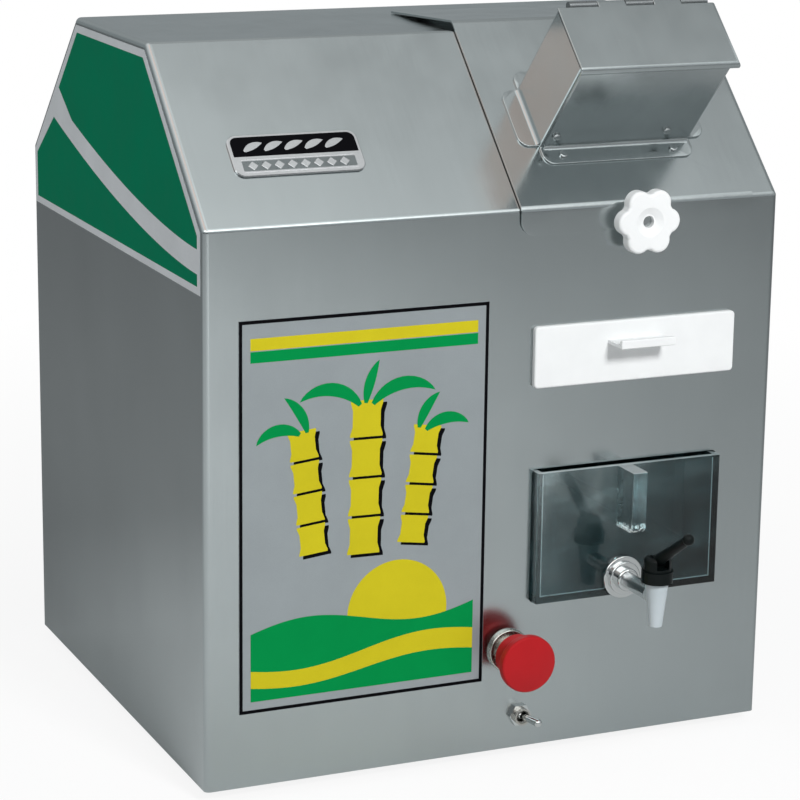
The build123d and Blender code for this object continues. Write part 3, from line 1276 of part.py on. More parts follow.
with BuildPart() as toggle_lever:
    pivot = front_plane.location * Pos(*TOGGLE_AT, TOGGLE_PIVOT_OUT) * Rot(0, TOGGLE_TILT, 0)
    with Locations(pivot):
        Sphere(TOGGLE_BALL_R)
    with Locations(pivot * Pos(0, 0, TOGGLE_LEN / 2)):
        Cone(TOGGLE_ROOT_R, TOGGLE_TIP_R, TOGGLE_LEN)
    with Locations(pivot * Pos(0, 0, TOGGLE_LEN)):
        Sphere(TOGGLE_TIP_R)
    with Locations(pivot * Pos(0, 0, -TOGGLE_TAIL / 2)):
        Cylinder(TOGGLE_ROOT_R / 2, TOGGLE_TAIL)
toggle_lever.part.label = "toggle_lever"
export_step(toggle_lever.part, "parts/toggle_lever.step")

# Side plates of the mill, with bush holes, tie rod holes, slots for the turner bar and welded feet
PLATE_TOP = TOP_H - PLATE_TOP_GAP
PLATE_KNEE = SHOULDER_H - PLATE_NOSE_DROP


def under_slope(depth):
    """Height of the mill plates' sloped edge at a depth."""
    return SHOULDER_H + (SLOPE_SIN * depth - PLATE_SLOPE_GAP) / SLOPE_COS


SLOPE_EDGE_TOP = (PLATE_SLOPE_GAP + SLOPE_COS * (PLATE_TOP - SHOULDER_H)) / SLOPE_SIN
TURNER_DEPTH = (FEED[0] + DISCHARGE[0]) / 2
TURNER = about(TURNER_DEPTH, TURNER_T)
TURNER_TOP = MASTER[1] - ROLL_R - TURNER_GAP
TURNER_SPAN = (TURNER_TOP - TURNER_H, TURNER_TOP)
TIES = [
    away(FEED, ROLL_R + TIE_R + FRONT_TIE_GAP, FRONT_TIE_ANGLE),
    (PLATE_REAR - 5 * TIE_R, PLATE_TOP - 2 * TIE_R),
    (PLATE_FOOT_REAR - 20.0, PLATE_FOOT_H - 20.0),
    (PLATE_FRONT + 20.0, PLATE_FOOT_H),
]
STANDOFFS = [
    (GEAR_PLATE_FRONT + 20.0, PINION[1] - 46.0),
    (MOTOR_FRONT - 16.0, PINION[1] - 40.0),
    (PLATE_REAR - 12.0, PLATE_TOP - 20.0),
]
PLATE_OUTLINE = [
    (PLATE_FRONT, BASE_T),
    (PLATE_FOOT_REAR, BASE_T),
    (PLATE_FOOT_REAR, PLATE_FOOT_H),
    (PLATE_REAR, PLATE_KNEE),
    (PLATE_REAR, PLATE_TOP),
    (SLOPE_EDGE_TOP, PLATE_TOP),
    (PLATE_NOSE, under_slope(PLATE_NOSE)),
    (PLATE_NOSE, PLATE_KNEE),
    (PLATE_FRONT, PLATE_KNEE - PLATE_NOSE_RAMP),
]
with BuildPart() as frame_plates:
    for plate in (LEFT_PLATE, RIGHT_PLATE):
        profile(PLATE_OUTLINE, plate)
        for centre in (MASTER, FEED, DISCHARGE):
            disc(side_plane, centre, BUSH_R + FIT, plate, mode=Mode.SUBTRACT)
        for centre in TIES:
            disc(side_plane, centre, TIE_END_R + FIT, plate, mode=Mode.SUBTRACT)
        bar(
            plate,
            (TURNER[0] - FIT, TURNER[1] + FIT),
            (TURNER_SPAN[0] - FIT, TURNER_SPAN[1] + FIT),
            mode=Mode.SUBTRACT,
        )
    for centre in STANDOFFS:
        disc(side_plane, centre, TIE_END_R + FIT, LEFT_PLATE, mode=Mode.SUBTRACT)
    foot_deep = (FOOT_FLANGE_FRONT, CABINET_D - FOOT_INSET - 2 * FOOT_PLUG_R)
    foot_span = (BASE_T, BASE_T + FOOT_FLANGE_T)
    bar((CHAMBER[0], CHAMBER[0] + FOOT_FLANGE_W), foot_deep, foot_span)
    bar((CHAMBER[1] - FOOT_FLANGE_W, CHAMBER[1]), foot_deep, foot_span)
frame_plates.part.label = "frame_plates"
export_step(frame_plates.part, "parts/frame_plates.step")

# Tie rods between the side plates, and standoffs that carry the outer gear plate
with BuildPart() as tie_rods:
    for centre in TIES:
        disc(side_plane, centre, TIE_R, CHAMBER)
        disc(side_plane, centre, TIE_END_R, (LEFT_PLATE[0] - TIE_NUT_T, RIGHT_PLATE[1] + TIE_NUT_T))
        hexagon(side_plane, centre, TIE_NUT_R, (LEFT_PLATE[0] - TIE_NUT_T, LEFT_PLATE[0]))
        hexagon(side_plane, centre, TIE_NUT_R, (RIGHT_PLATE[1], RIGHT_PLATE[1] + TIE_NUT_T))
    for centre in STANDOFFS:
        disc(side_plane, centre, TIE_R, (GEAR_PLATE[1], LEFT_PLATE[0]))
        disc(side_plane, centre, TIE_END_R, (GEAR_PLATE[0], CHAMBER[0] + TIE_NUT_T))
        hexagon(side_plane, centre, TIE_NUT_R, (CHAMBER[0], CHAMBER[0] + TIE_NUT_T))
tie_rods.part.label = "tie_rods"
export_step(tie_rods.part, "parts/tie_rods.step")

# Bronze bushes for the rollers, and one in the gear plate
with BuildPart() as roller_bushes:
    for centre in (MASTER, FEED, DISCHARGE):
        disc(side_plane, centre, BUSH_R, LEFT_PLATE)
        disc(side_plane, centre, BUSH_FLANGE_R, (CHAMBER[0], CHAMBER[0] + BUSH_FLANGE_T))
        disc(side_plane, centre, BUSH_R, RIGHT_PLATE)
        disc(side_plane, centre, BUSH_FLANGE_R, (CHAMBER[1] - BUSH_FLANGE_T, CHAMBER[1]))
        disc(
            side_plane,
            centre,
            JOURNAL_R + RUNNING,
            (LEFT_PLATE[0], RIGHT_PLATE[1]),
            mode=Mode.SUBTRACT,
        )
    outer_bush = (GEAR_PLATE[0], GEAR_PLATE[1] + BUSH_FLANGE_T)
    disc(side_plane, MASTER, BUSH_R, GEAR_PLATE)
    disc(side_plane, MASTER, BUSH_FLANGE_R, (GEAR_PLATE[1], outer_bush[1]))
    disc(side_plane, MASTER, SHAFT_R + RUNNING, outer_bush, mode=Mode.SUBTRACT)
roller_bushes.part.label = "roller_bushes"
export_step(roller_bushes.part, "parts/roller_bushes.step")


# Rollers
def fluted_roller(centre, shaft_end):
    """Fluted barrel on a stepped shaft that runs left to a given end."""
    end_gap = BUSH_FLANGE_T + ROLLER_END_GAP
    with BuildPart() as roller:
        with BuildSketch(side_plane.offset(CHAMBER[0] + end_gap)):
            with Locations(centre):
                Circle(ROLL_R)
                with PolarLocations(ROLL_R, FLUTES):
                    Circle(FLUTE_R, mode=Mode.SUBTRACT)
        extrude(amount=CHAMBER_W - 2 * end_gap)
        disc(side_plane, centre, JOURNAL_R, (LEFT_PLATE[0] - SHAFT_TAIL, RIGHT_PLATE[1] + SHAFT_TAIL))
        disc(side_plane, centre, SHAFT_R, (shaft_end, LEFT_PLATE[0]))
    return roller


master_roller = fluted_roller(MASTER, GEAR_PLATE[0])
master_roller.part.label = "master_roller"
export_step(master_roller.part, "parts/master_roller.step")

feed_roller = fluted_roller(FEED, GEARS[0] - SHAFT_TAIL)
feed_roller.part.label = "feed_roller"
export_step(feed_roller.part, "parts/feed_roller.step")

discharge_roller = fluted_roller(DISCHARGE, GEARS[0] - SHAFT_TAIL)
discharge_roller.part.label = "discharge_roller"
export_step(discharge_roller.part, "parts/discharge_roller.step")


# Gears
def involute(radius, base_r):
    """Involute angle of a radius over its base circle."""
    pressure = acos(min(1.0, base_r / radius))
    return tan(pressure) - pressure


def gear_outline(centre, module, teeth, turn):
    """Corners of a gear's outline, with one tooth centred on an angle."""
    pitch_r = module * teeth / 2
    base_r = pitch_r * cos(PRESSURE_ANGLE)
    root_r = pitch_r - DEDENDUM * module
    tip_r = pitch_r + ADDENDUM * module
    low_r = max(base_r, root_r)
    half_pitch = pi / (2 * teeth) - GEAR_BACKLASH / (2 * pitch_r) + involute(pitch_r, base_r)
    radii = [low_r + (tip_r - low_r) * step / FLANK_STEPS for step in range(FLANK_STEPS + 1)]
    flank = [(radius, degrees(half_pitch - involute(radius, base_r))) for radius in radii]
    if root_r < low_r:
        flank.insert(0, (root_r, flank[0][1]))
    corners = []
    for tooth in range(teeth):
        middle_angle = turn + 360 * tooth / teeth
        corners += [away(centre, radius, middle_angle - half) for radius, half in flank]
        corners += [away(centre, radius, middle_angle + half) for radius, half in reversed(flank)]
    return corners


def mesh_turn(first, second, turn, teeth_first, teeth_second):
    """Angle of a tooth on the second gear that puts it in mesh with the first."""
    line = degrees(atan2(second[1] - first[1], second[0] - first[0]))
    gap = line + 180 - (turn - line) * teeth_first / teeth_second
    return gap + 180 / teeth_second


def spur_gear(centre, across, module, teeth, turn):
    """Spur gear on a shaft."""
    with BuildPart() as gear:
        profile(gear_outline(centre, module, teeth, turn), across)
        disc(side_plane, centre, SHAFT_R + FIT, across, mode=Mode.SUBTRACT)
    return gear


MASTER_TURN = 90.0
FEED_TURN = mesh_turn(MASTER, FEED, MASTER_TURN, GEAR_TEETH, GEAR_TEETH)
DISCHARGE_TURN = mesh_turn(MASTER, DISCHARGE, MASTER_TURN, GEAR_TEETH, GEAR_TEETH)
PINION_TURN = mesh_turn(MASTER, PINION, MASTER_TURN, BULL_TEETH, PINION_TEETH)

master_gear = spur_gear(MASTER, GEARS, GEAR_MODULE, GEAR_TEETH, MASTER_TURN)
master_gear.part.label = "master_gear"
export_step(master_gear.part, "parts/master_gear.step")

feed_gear = spur_gear(FEED, GEARS, GEAR_MODULE, GEAR_TEETH, FEED_TURN)
feed_gear.part.label = "feed_gear"
export_step(feed_gear.part, "parts/feed_gear.step")

discharge_gear = spur_gear(DISCHARGE, GEARS, GEAR_MODULE, GEAR_TEETH, DISCHARGE_TURN)
discharge_gear.part.label = "discharge_gear"
export_step(discharge_gear.part, "parts/discharge_gear.step")

bull_gear = spur_gear(MASTER, BULL, BULL_MODULE, BULL_TEETH, MASTER_TURN)
bull_gear.part.label = "bull_gear"
export_step(bull_gear.part, "parts/bull_gear.step")

# Pinion cut on the gearbox's output shaft
with BuildPart() as pinion_shaft:
    profile(gear_outline(PINION, BULL_MODULE, PINION_TEETH, PINION_TURN), BULL)
    disc(side_plane, PINION, PINION_SHAFT_R, (GEARBOX[1] - PINION_SHAFT_IN, BULL[1]))
pinion_shaft.part.label = "pinion_shaft"
export_step(pinion_shaft.part, "parts/pinion_shaft.step")

# Outer gear plate, cut back behind for the motor's flange
GEAR_PLATE_LOW = PINION[1] - GEARBOX_DOWN
MOTOR_CLEAR = MOTOR_FRONT - SHEET
MOTOR_CLEAR_H = MOTOR_AT[1] + MOTOR_FLANGE_R + TIE_R
with BuildPart() as gear_plate:
    gear_plate_points = [
        (GEAR_PLATE_FRONT, GEAR_PLATE_LOW),
        (MOTOR_CLEAR, GEAR_PLATE_LOW),
        (MOTOR_CLEAR, MOTOR_CLEAR_H),
        (PLATE_REAR, MOTOR_CLEAR_H + PLATE_REAR - MOTOR_CLEAR),
        (PLATE_REAR, PLATE_TOP),
        (SLOPE_EDGE_TOP, PLATE_TOP),
        (GEAR_PLATE_FRONT, under_slope(GEAR_PLATE_FRONT)),
    ]
    profile(gear_plate_points, GEAR_PLATE)
    disc(side_plane, MASTER, BUSH_R + FIT, GEAR_PLATE, mode=Mode.SUBTRACT)
    disc(side_plane, PINION, GEAR_PLATE_HOLE_R, GEAR_PLATE, mode=Mode.SUBTRACT)
    for centre in STANDOFFS:
        disc(side_plane, centre, TIE_END_R + FIT, GEAR_PLATE, mode=Mode.SUBTRACT)
gear_plate.part.label = "gear_plate"
export_step(gear_plate.part, "parts/gear_plate.step")

# Gearbox, a sealed case with bores for its two shafts
with BuildPart() as gearbox_case:
    bar(
        GEARBOX,
        about(PINION[0], 2 * GEARBOX_HALF_D),
        (PINION[1] - GEARBOX_DOWN, PINION[1] + GEARBOX_UP),
    )
    fillet(gearbox_case.edges().filter_by(Axis.X), GEARBOX_ROUND)
    disc(
        side_plane,
        PINION,
        PINION_SHAFT_R + RUNNING,
        (GEARBOX[1] - PINION_SHAFT_IN - SHEET, GEARBOX[1]),
        mode=Mode.SUBTRACT,
    )
    disc(
        front_plane,
        MOTOR_AT,
        MOTOR_SHAFT_R + RUNNING,
        (-MOTOR_FRONT, -MOTOR_FRONT + MOTOR_SHAFT_IN + SHEET),
        mode=Mode.SUBTRACT,
    )
gearbox_case.part.label = "gearbox_case"
export_step(gearbox_case.part, "parts/gearbox_case.step")

# Motor housing with a ribbed barrel, a space for the rotor and a vented fan cowl
with BuildPart() as motor_housing:
    with BuildSketch(front_plane.offset(-MOTOR_BACK)):
        with Locations(MOTOR_AT):
            Circle(MOTOR_R)
            with PolarLocations(MOTOR_R, MOTOR_FINS):
                Circle(MOTOR_FIN_R, mode=Mode.SUBTRACT)
    extrude(amount=MOTOR_L)
    disc(front_plane, MOTOR_AT, MOTOR_FLANGE_R, (-MOTOR_FRONT - MOTOR_FLANGE_T, -MOTOR_FRONT))
    disc(
        front_plane,
        MOTOR_AT,
        ROTOR_R + ROTOR_GAP,
        (-ROTOR[1] - 2 * ROTOR_GAP, -ROTOR[0] + 2 * ROTOR_GAP),
        mode=Mode.SUBTRACT,
    )
    disc(front_plane, MOTOR_AT, FAN_SPACE_R, (-FAN_SPACE[1], -FAN_SPACE[0]), mode=Mode.SUBTRACT)
    disc(front_plane, MOTOR_AT, MOTOR_SHAFT_R + RUNNING, (-FAN_SPACE[0], -MOTOR_FRONT), mode=Mode.SUBTRACT)
    with BuildSketch(front_plane.offset(-MOTOR_BACK)):
        with Locations(MOTOR_AT):
            with PolarLocations((FAN_SPACE_R + COWL_HOLE_R) / 2, COWL_HOLES):
                Circle(COWL_HOLE_R)
    extrude(amount=COWL_T, mode=Mode.SUBTRACT)
motor_housing.part.label = "motor_housing"
export_step(motor_housing.part, "parts/motor_housing.step")

# Motor shaft with its rotor
FAN_SPAN = about(middle(FAN_SPACE), FAN_L)
with BuildPart() as motor_shaft:
    disc(front_plane, MOTOR_AT, MOTOR_SHAFT_R, (-FAN_SPAN[1], -MOTOR_FRONT + MOTOR_SHAFT_IN))
    disc(front_plane, MOTOR_AT, ROTOR_R, (-ROTOR[1], -ROTOR[0]))
motor_shaft.part.label = "motor_shaft"
export_step(motor_shaft.part, "parts/motor_shaft.step")

# Motor fan
with BuildPart() as motor_fan:
    disc(front_plane, MOTOR_AT, FAN_HUB_R, (-FAN_SPAN[1], -FAN_SPAN[0]))
    with BuildSketch(front_plane.offset(-FAN_SPAN[1])):
        with Locations(MOTOR_AT):
            with PolarLocations((FAN_HUB_R + FAN_R) / 2, FAN_BLADES):
                Rectangle(FAN_R - FAN_HUB_R + FAN_BLADE_T, FAN_BLADE_T)
    extrude(amount=FAN_L)
    disc(front_plane, MOTOR_AT, MOTOR_SHAFT_R + FIT, (-FAN_SPAN[1], -FAN_SPAN[0]), mode=Mode.SUBTRACT)
motor_fan.part.label = "motor_fan"
export_step(motor_fan.part, "parts/motor_fan.step")

# Motor stand: two ribs with saddles on a foot
with BuildPart() as motor_stand:
    stand_front = MOTOR_FRONT + 2 * MOTOR_FLANGE_T
    stand_w = about(MOTOR_AT[0], 2 * STAND_HALF_W)
    bar(stand_w, (stand_front, stand_front + STAND_L), (BASE_T, BASE_T + STAND_T))
    for rib_front in (stand_front, stand_front + STAND_L - 2 * STAND_T):
        bar(stand_w, (rib_front, rib_front + 2 * STAND_T), (BASE_T, MOTOR_AT[1] - STAND_SADDLE))
    disc(
        front_plane,
        MOTOR_AT,
        MOTOR_R + FIT,
        (-stand_front - STAND_L, -stand_front),
        mode=Mode.SUBTRACT,
    )
motor_stand.part.label = "motor_stand"
export_step(motor_stand.part, "parts/motor_stand.step")

# Turner bar under the master roller, tenoned into both plates
with BuildPart() as turner_bar:
    bar((LEFT_PLATE[0], RIGHT_PLATE[1]), TURNER, TURNER_SPAN)
turner_bar.part.label = "turner_bar"
export_step(turner_bar.part, "parts/turner_bar.step")

# Bagasse chute: a sloping channel from the discharge roller out through the rear panel
with BuildPart() as bagasse_chute:
    channel = [
        (SPOUT_START[0], SPOUT_START[1] - SPOUT_WALL),
        (SPOUT_END[0], SPOUT_END[1] - SPOUT_WALL),
        (SPOUT_END[0], SPOUT_END[1] + SPOUT_SIDE_H),
        (SPOUT_START[0], SPOUT_START[1] + SPOUT_SIDE_H),
    ]
    hollow = [SPOUT_START, SPOUT_END, channel[2], channel[3]]
    profile(channel, SPOUT_ACROSS)
    profile(hollow, (SPOUT_ACROSS[0] + SPOUT_WALL, SPOUT_ACROSS[1] - SPOUT_WALL), mode=Mode.SUBTRACT)
bagasse_chute.part.label = "bagasse_chute"
export_step(bagasse_chute.part, "parts/bagasse_chute.step")
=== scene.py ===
import json
import math

import bmesh
import bpy
from mathutils import Matrix, Vector


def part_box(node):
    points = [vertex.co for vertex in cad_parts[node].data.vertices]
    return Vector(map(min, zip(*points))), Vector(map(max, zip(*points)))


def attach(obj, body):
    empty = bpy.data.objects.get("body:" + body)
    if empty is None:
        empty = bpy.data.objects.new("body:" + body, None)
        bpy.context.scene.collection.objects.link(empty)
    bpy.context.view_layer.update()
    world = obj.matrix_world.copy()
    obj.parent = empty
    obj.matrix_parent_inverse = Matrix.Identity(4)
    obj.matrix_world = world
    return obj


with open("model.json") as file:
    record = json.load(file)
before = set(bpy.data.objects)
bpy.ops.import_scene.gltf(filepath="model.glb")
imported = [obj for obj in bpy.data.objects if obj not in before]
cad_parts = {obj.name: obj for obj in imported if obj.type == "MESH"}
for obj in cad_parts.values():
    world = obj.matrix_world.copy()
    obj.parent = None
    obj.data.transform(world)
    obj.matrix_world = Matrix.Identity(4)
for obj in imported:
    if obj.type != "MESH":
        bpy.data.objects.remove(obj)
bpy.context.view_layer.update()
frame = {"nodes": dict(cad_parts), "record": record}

nodes = frame["nodes"]
scene = bpy.context.scene

# Sizes of the CAD model that the looks lean on, in millimetres
FRONT_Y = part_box("cabinet_shell")[0].y * 1000
CABINET_W = 415.0
FOOT_H = 8.0
SHOULDER_H = 374.0
SLOPE_RUN, SLOPE_RISE = 109.0, 105.0
TAP_OUT = 57.0
SHANK_BEHIND = 8.5
TANK_WALL = 4.0

# Directions, and places in metres
ACROSS, BACK, UP = Vector((1, 0, 0)), Vector((0, 1, 0)), Vector((0, 0, 1))
SLOPE = Vector((0, SLOPE_RUN, SLOPE_RISE)).normalized()
TAP_SHANK_Y = (FRONT_Y - TAP_OUT + SHANK_BEHIND) / 1000
TANK_LEFT, TANK_RIGHT = (corner.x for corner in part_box("juice_tank"))
TANK_LOW, TANK_HIGH = (corner.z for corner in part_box("juice_tank"))
PULL_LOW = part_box("tank_handle")[0].z


def place(x, depth, height):
    """A point of the cabinet in the row frame, in metres."""
    return Vector((x, FRONT_Y + depth, FOOT_H + height)) / 1000


# Node helpers
NOISE_RANGE = (0.3, 0.7)  # most of a noise pattern lies between these
FACING = 0.7  # a face counts as facing an axis from this share of its normal on


def material(name, color, roughness, metallic=0.0, **inputs):
    """A new material with one Principled shader, and its node tree and shader."""
    made = bpy.data.materials.new(name)
    made.use_nodes = True
    tree = made.node_tree
    shader = tree.nodes["Principled BSDF"]
    shader.inputs["Base Color"].default_value = (*color, 1)
    shader.inputs["Roughness"].default_value = roughness
    shader.inputs["Metallic"].default_value = metallic
    for key, value in inputs.items():
        shader.inputs[key.replace("_", " ")].default_value = value
    return made, tree, shader


def add(tree, kind, inputs=None, **props):
    """A new node with its properties and inputs set, each input a value or another node's output."""
    made = tree.nodes.new("ShaderNode" + kind)
    for key, value in props.items():
        setattr(made, key, value)
    for key, value in (inputs or {}).items():
        if isinstance(value, bpy.types.NodeSocket):
            tree.links.new(value, made.inputs[key])
        else:
            made.inputs[key].default_value = value
    return made


def feed(tree, shader, **sockets):
    """Link outputs to the shader's inputs of these names."""
    for key, socket in sockets.items():
        tree.links.new(socket, shader.inputs[key.replace("_", " ")])


def show(tree, factor, shader, other):
    """Show a mix of two shaders as the material's surface."""
    both = add(tree, "MixShader", {0: factor, 1: shader.outputs[0], 2: other.outputs[0]})
    tree.links.new(both.outputs[0], tree.nodes["Material Output"].inputs["Surface"])


def where(tree):
    """The piece's own coordinates, in metres."""
    return add(tree, "TexCoord").outputs["Object"]


def parted(tree, vector):
    """The three parts of a vector."""
    return add(tree, "SeparateXYZ", {0: vector}).outputs


def normal(tree):
    """The three parts of the surface's own normal."""
    return parted(tree, add(tree, "TexCoord").outputs["Normal"])


def noise(tree, vector, scale, detail, roughness, stretch=(1, 1, 1)):
    """Noise from 0 to 1 over the surface, stretched along the axes with small factors."""
    spread = add(tree, "Mapping", {"Vector": vector, "Scale": stretch})
    inputs = {"Vector": spread.outputs[0], "Scale": scale, "Detail": detail, "Roughness": roughness}
    return add(tree, "TexNoise", inputs).outputs[0]


def arithmetic(tree, operation, a, b=0.0, clamp=False):
    """One arithmetic step."""
    return add(tree, "Math", {0: a, 1: b}, operation=operation, use_clamp=clamp).outputs[0]


def plus(tree, a, b, clamp=False):
    """A sum, held between 0 and 1 when clamped."""
    return arithmetic(tree, "ADD", a, b, clamp)


def times(tree, a, b):
    """A product."""
    return arithmetic(tree, "MULTIPLY", a, b)


def above(tree, value, limit):
    """1 where a value is over the limit, and 0 elsewhere."""
    return arithmetic(tree, "GREATER_THAN", value, limit)


def ranged(tree, value, over, into=(0, 1)):
    """A value over one range mapped into another, held at its ends."""
    ends = {"From Min": over[0], "From Max": over[1], "To Min": into[0], "To Max": into[1]}
    return add(tree, "MapRange", {"Value": value, **ends}).outputs[0]


def mixed(tree, factor, a, b):
    """A colour between two colours."""
    made = add(tree, "Mix", {0: factor}, data_type="RGBA")
    for key, value in ((6, a), (7, b)):
        if isinstance(value, bpy.types.NodeSocket):
            tree.links.new(value, made.inputs[key])
        else:
            made.inputs[key].default_value = (*value, 1)
    return made.outputs[2]


def tinted(color, factor):
    """A colour made darker or lighter."""
    return tuple(min(1.0, c * factor) for c in color)


def mottled(tree, pattern, color, darker, lighter):
    """A colour that a pattern makes darker by one share and lighter by another."""
    factor = ranged(tree, pattern, NOISE_RANGE)
    return mixed(tree, factor, tinted(color, 1 - darker), tinted(color, 1 + lighter))


def bumped(tree, shader, height, strength, distance):
    """Fine relief from a height."""
    made = add(tree, "Bump", {"Height": height, "Strength": strength, "Distance": distance})
    feed(tree, shader, Normal=made.outputs[0])


# Materials
def brushed_steel(name, color, roughness, smudge=1.0):
    """Sheet steel brushed up and down, with faint smudges; on the sides the brushing is spread along Y."""
    made, tree, shader = material(name, color, roughness, 1.0)
    at = where(tree)
    on_side = above(tree, arithmetic(tree, "ABSOLUTE", normal(tree)[0]), FACING)

    def lines(scale, along):
        front = noise(tree, at, scale, 3, 0.6, (1, along, along))
        flank = noise(tree, at, scale, 3, 0.6, (along, 1, along))
        return add(tree, "Mix", {0: on_side, 2: front, 3: flank}).outputs[0]

    fine = lines(scale=3200, along=0.004)
    coarse = lines(scale=260, along=0.012)
    cloud = noise(tree, at, scale=7, detail=4, roughness=0.5)
    wipe = noise(tree, at, scale=26, detail=3, roughness=0.55, stretch=(1, 1, 0.4))
    tone = plus(tree, times(tree, coarse, 0.15), times(tree, cloud, 0.85))
    worn = plus(tree, times(tree, wipe, 0.6), times(tree, fine, 0.4))
    gloss = (roughness - 0.03 * smudge, roughness + 0.04 * smudge)
    feed(
        tree,
        shader,
        Base_Color=mottled(tree, tone, color, darker=0.03 * smudge, lighter=0.03 * smudge),
        Roughness=ranged(tree, worn, NOISE_RANGE, gloss),
    )
    bumped(tree, shader, plus(tree, fine, times(tree, coarse, 0.25)), strength=0.03, distance=0.0002)
    return made


def turned_metal(name, color, roughness, grain=600.0, spots=0.06):
    """Machined or cast metal with fine grain and uneven tone."""
    made, tree, shader = material(name, color, roughness, 1.0)
    at = where(tree)
    cloud = noise(tree, at, scale=40, detail=4, roughness=0.6)
    fine = noise(tree, at, scale=grain, detail=3, roughness=0.6)
    gloss = (max(0.02, roughness - 0.05), roughness + 0.07)
    feed(
        tree,
        shader,
        Base_Color=mottled(tree, cloud, color, darker=spots, lighter=spots),
        Roughness=ranged(tree, fine, (0.25, 0.75), gloss),
    )
    bumped(tree, shader, fine, strength=0.05, distance=0.0002)
    return made


def moulded(name, color, roughness, grain=900.0, depth=0.04, spread=0.04, **inputs):
    """Moulded plastic or rubber: slight mottling and a fine skin texture."""
    made, tree, shader = material(name, color, roughness, **inputs)
    at = where(tree)
    cloud = noise(tree, at, scale=45, detail=4, roughness=0.55)
    skin = noise(tree, at, scale=grain, detail=2, roughness=0.5)
    feed(
        tree,
        shader,
        Base_Color=mottled(tree, cloud, color, darker=spread, lighter=spread),
        Roughness=ranged(tree, cloud, NOISE_RANGE, (roughness - 0.05, roughness + 0.06)),
    )
    bumped(tree, shader, skin, strength=depth, distance=0.0004)
    return made


def printed(name, color, roughness=0.45, metallic=0.0):
    """Printed film: ink with slight unevenness and a faint ripple of the film under it."""
    made, tree, shader = material(name, color, roughness, metallic, Specular_IOR_Level=0.012)
    at = where(tree)
    cloud = noise(tree, at, scale=30, detail=4, roughness=0.6)
    speck = noise(tree, at, scale=1100, detail=2, roughness=0.5)
    ripple = noise(tree, at, scale=120, detail=2, roughness=0.5)
    tone = plus(tree, times(tree, cloud, 0.7), times(tree, speck, 0.3))
    feed(
        tree,
        shader,
        Base_Color=mottled(tree, tone, color, darker=0.06, lighter=0.05),
        Roughness=ranged(tree, cloud, NOISE_RANGE, (roughness - 0.05, roughness + 0.07)),
    )
    bumped(tree, shader, ripple, strength=0.03, distance=0.0006)
    return made


# Clear plastic: its sawn band, and its band of chips whose pale spots are also painted glints, in metres
ACRYLIC_IOR = 1.49
FROST_AND_GLINT_COLOR, SAWN_SHARE, SAWN_H = (0.9, 0.93, 0.93), 0.45, 0.001
CHIP_GLINT_H = 0.008
LAMP_TINT = (0.86, 0.9, 0.9)
STREAK_SLANT = math.radians(9)


def clear_plastic(name, color, shaded_foot_color, haze, gloss, chipped_with_glints=False):
    """Clear plastic that lets lamps through, with its top edge sawn; painted light makes it paler and hazier
    up and to the left, and painted shade makes it darker towards its foot.
    """
    made, tree, shader = material(
        name, color, 0.03, Transmission_Weight=1.0, IOR=ACRYLIC_IOR, Specular_IOR_Level=gloss
    )
    at = where(tree)
    x, _, z = parted(tree, at)

    # Painted light and shade: how far up and to the left of the tank a point lies, unsettled by wipe marks;
    # higher shares are painted paler, lower ones darker
    wipe = noise(tree, at, scale=22, detail=4, roughness=0.6, stretch=(1, 1, 0.45))
    leftward = ranged(tree, x, (TANK_LEFT, TANK_RIGHT), (1, 0))
    upward = ranged(tree, z, (TANK_LOW, TANK_HIGH))
    pale = times(tree, plus(tree, leftward, upward), 0.5)
    pale = plus(tree, pale, ranged(tree, wipe, NOISE_RANGE, (-0.25, 0.25)), clamp=True)

    # Haze, with slanted wipe streaks in it, both made stronger up and to the left as part of the painted
    # light
    slant = add(tree, "Mapping", {"Vector": at, "Rotation": (0, STREAK_SLANT, 0)}).outputs[0]
    streak = noise(tree, slant, scale=60, detail=3, roughness=0.55, stretch=(0.22, 1, 1))
    streak = ranged(tree, streak, (0.53, 0.72), (0, 0.11))
    streak = times(tree, streak, ranged(tree, pale, (0.2, 0.9), (0.25, 1)))
    clear = ranged(tree, pale, (0.15, 0.95), (1 - haze[0], 1 - haze[1]))
    clear = arithmetic(tree, "SUBTRACT", clear, streak)

    # Sawn top edge, and frosted chips at the lower end whose pale spots also stand in for glints as painted
    # highlights
    frost_and_glints = times(tree, above(tree, normal(tree)[2], FACING), SAWN_SHARE)
    frost_and_glints = times(tree, frost_and_glints, above(tree, z, TANK_HIGH - SAWN_H))
    if chipped_with_glints:
        near_end = ranged(tree, z, (PULL_LOW, PULL_LOW + CHIP_GLINT_H), (0.2, -0.25))
        chips_and_glints = plus(tree, noise(tree, at, scale=520, detail=2, roughness=0.6), near_end)
        frost_and_glints = arithmetic(tree, "MAXIMUM", frost_and_glints, ranged(tree, chips_and_glints, (0.6, 0.68)))

    # Painted light and shade: the tint runs from the darker foot colour to the paler colour along the share
    # above
    painted_light_tint = mixed(tree, ranged(tree, pale, (0.5, 0.85)), shaded_foot_color, color)
    wiped = ranged(tree, wipe, (0.35, 0.75), (0.01, 0.07))
    # The sawn edge and the chips are painted pale and frosted; on the chips this pale is also a painted
    # glint
    feed(
        tree,
        shader,
        Base_Color=mixed(tree, frost_and_glints, painted_light_tint, FROST_AND_GLINT_COLOR),
        Transmission_Weight=times(tree, clear, ranged(tree, frost_and_glints, (0, 1), (1, 0))),
        Roughness=plus(tree, wiped, times(tree, frost_and_glints, 0.4)),
    )
    bumped(tree, shader, noise(tree, at, scale=25, detail=2, roughness=0.5), strength=0.02, distance=0.001)
    open_to_lamps = add(tree, "BsdfTransparent", {"Color": (*LAMP_TINT, 1)})
    show(tree, add(tree, "LightPath").outputs["Is Shadow Ray"], shader, open_to_lamps)
    return made


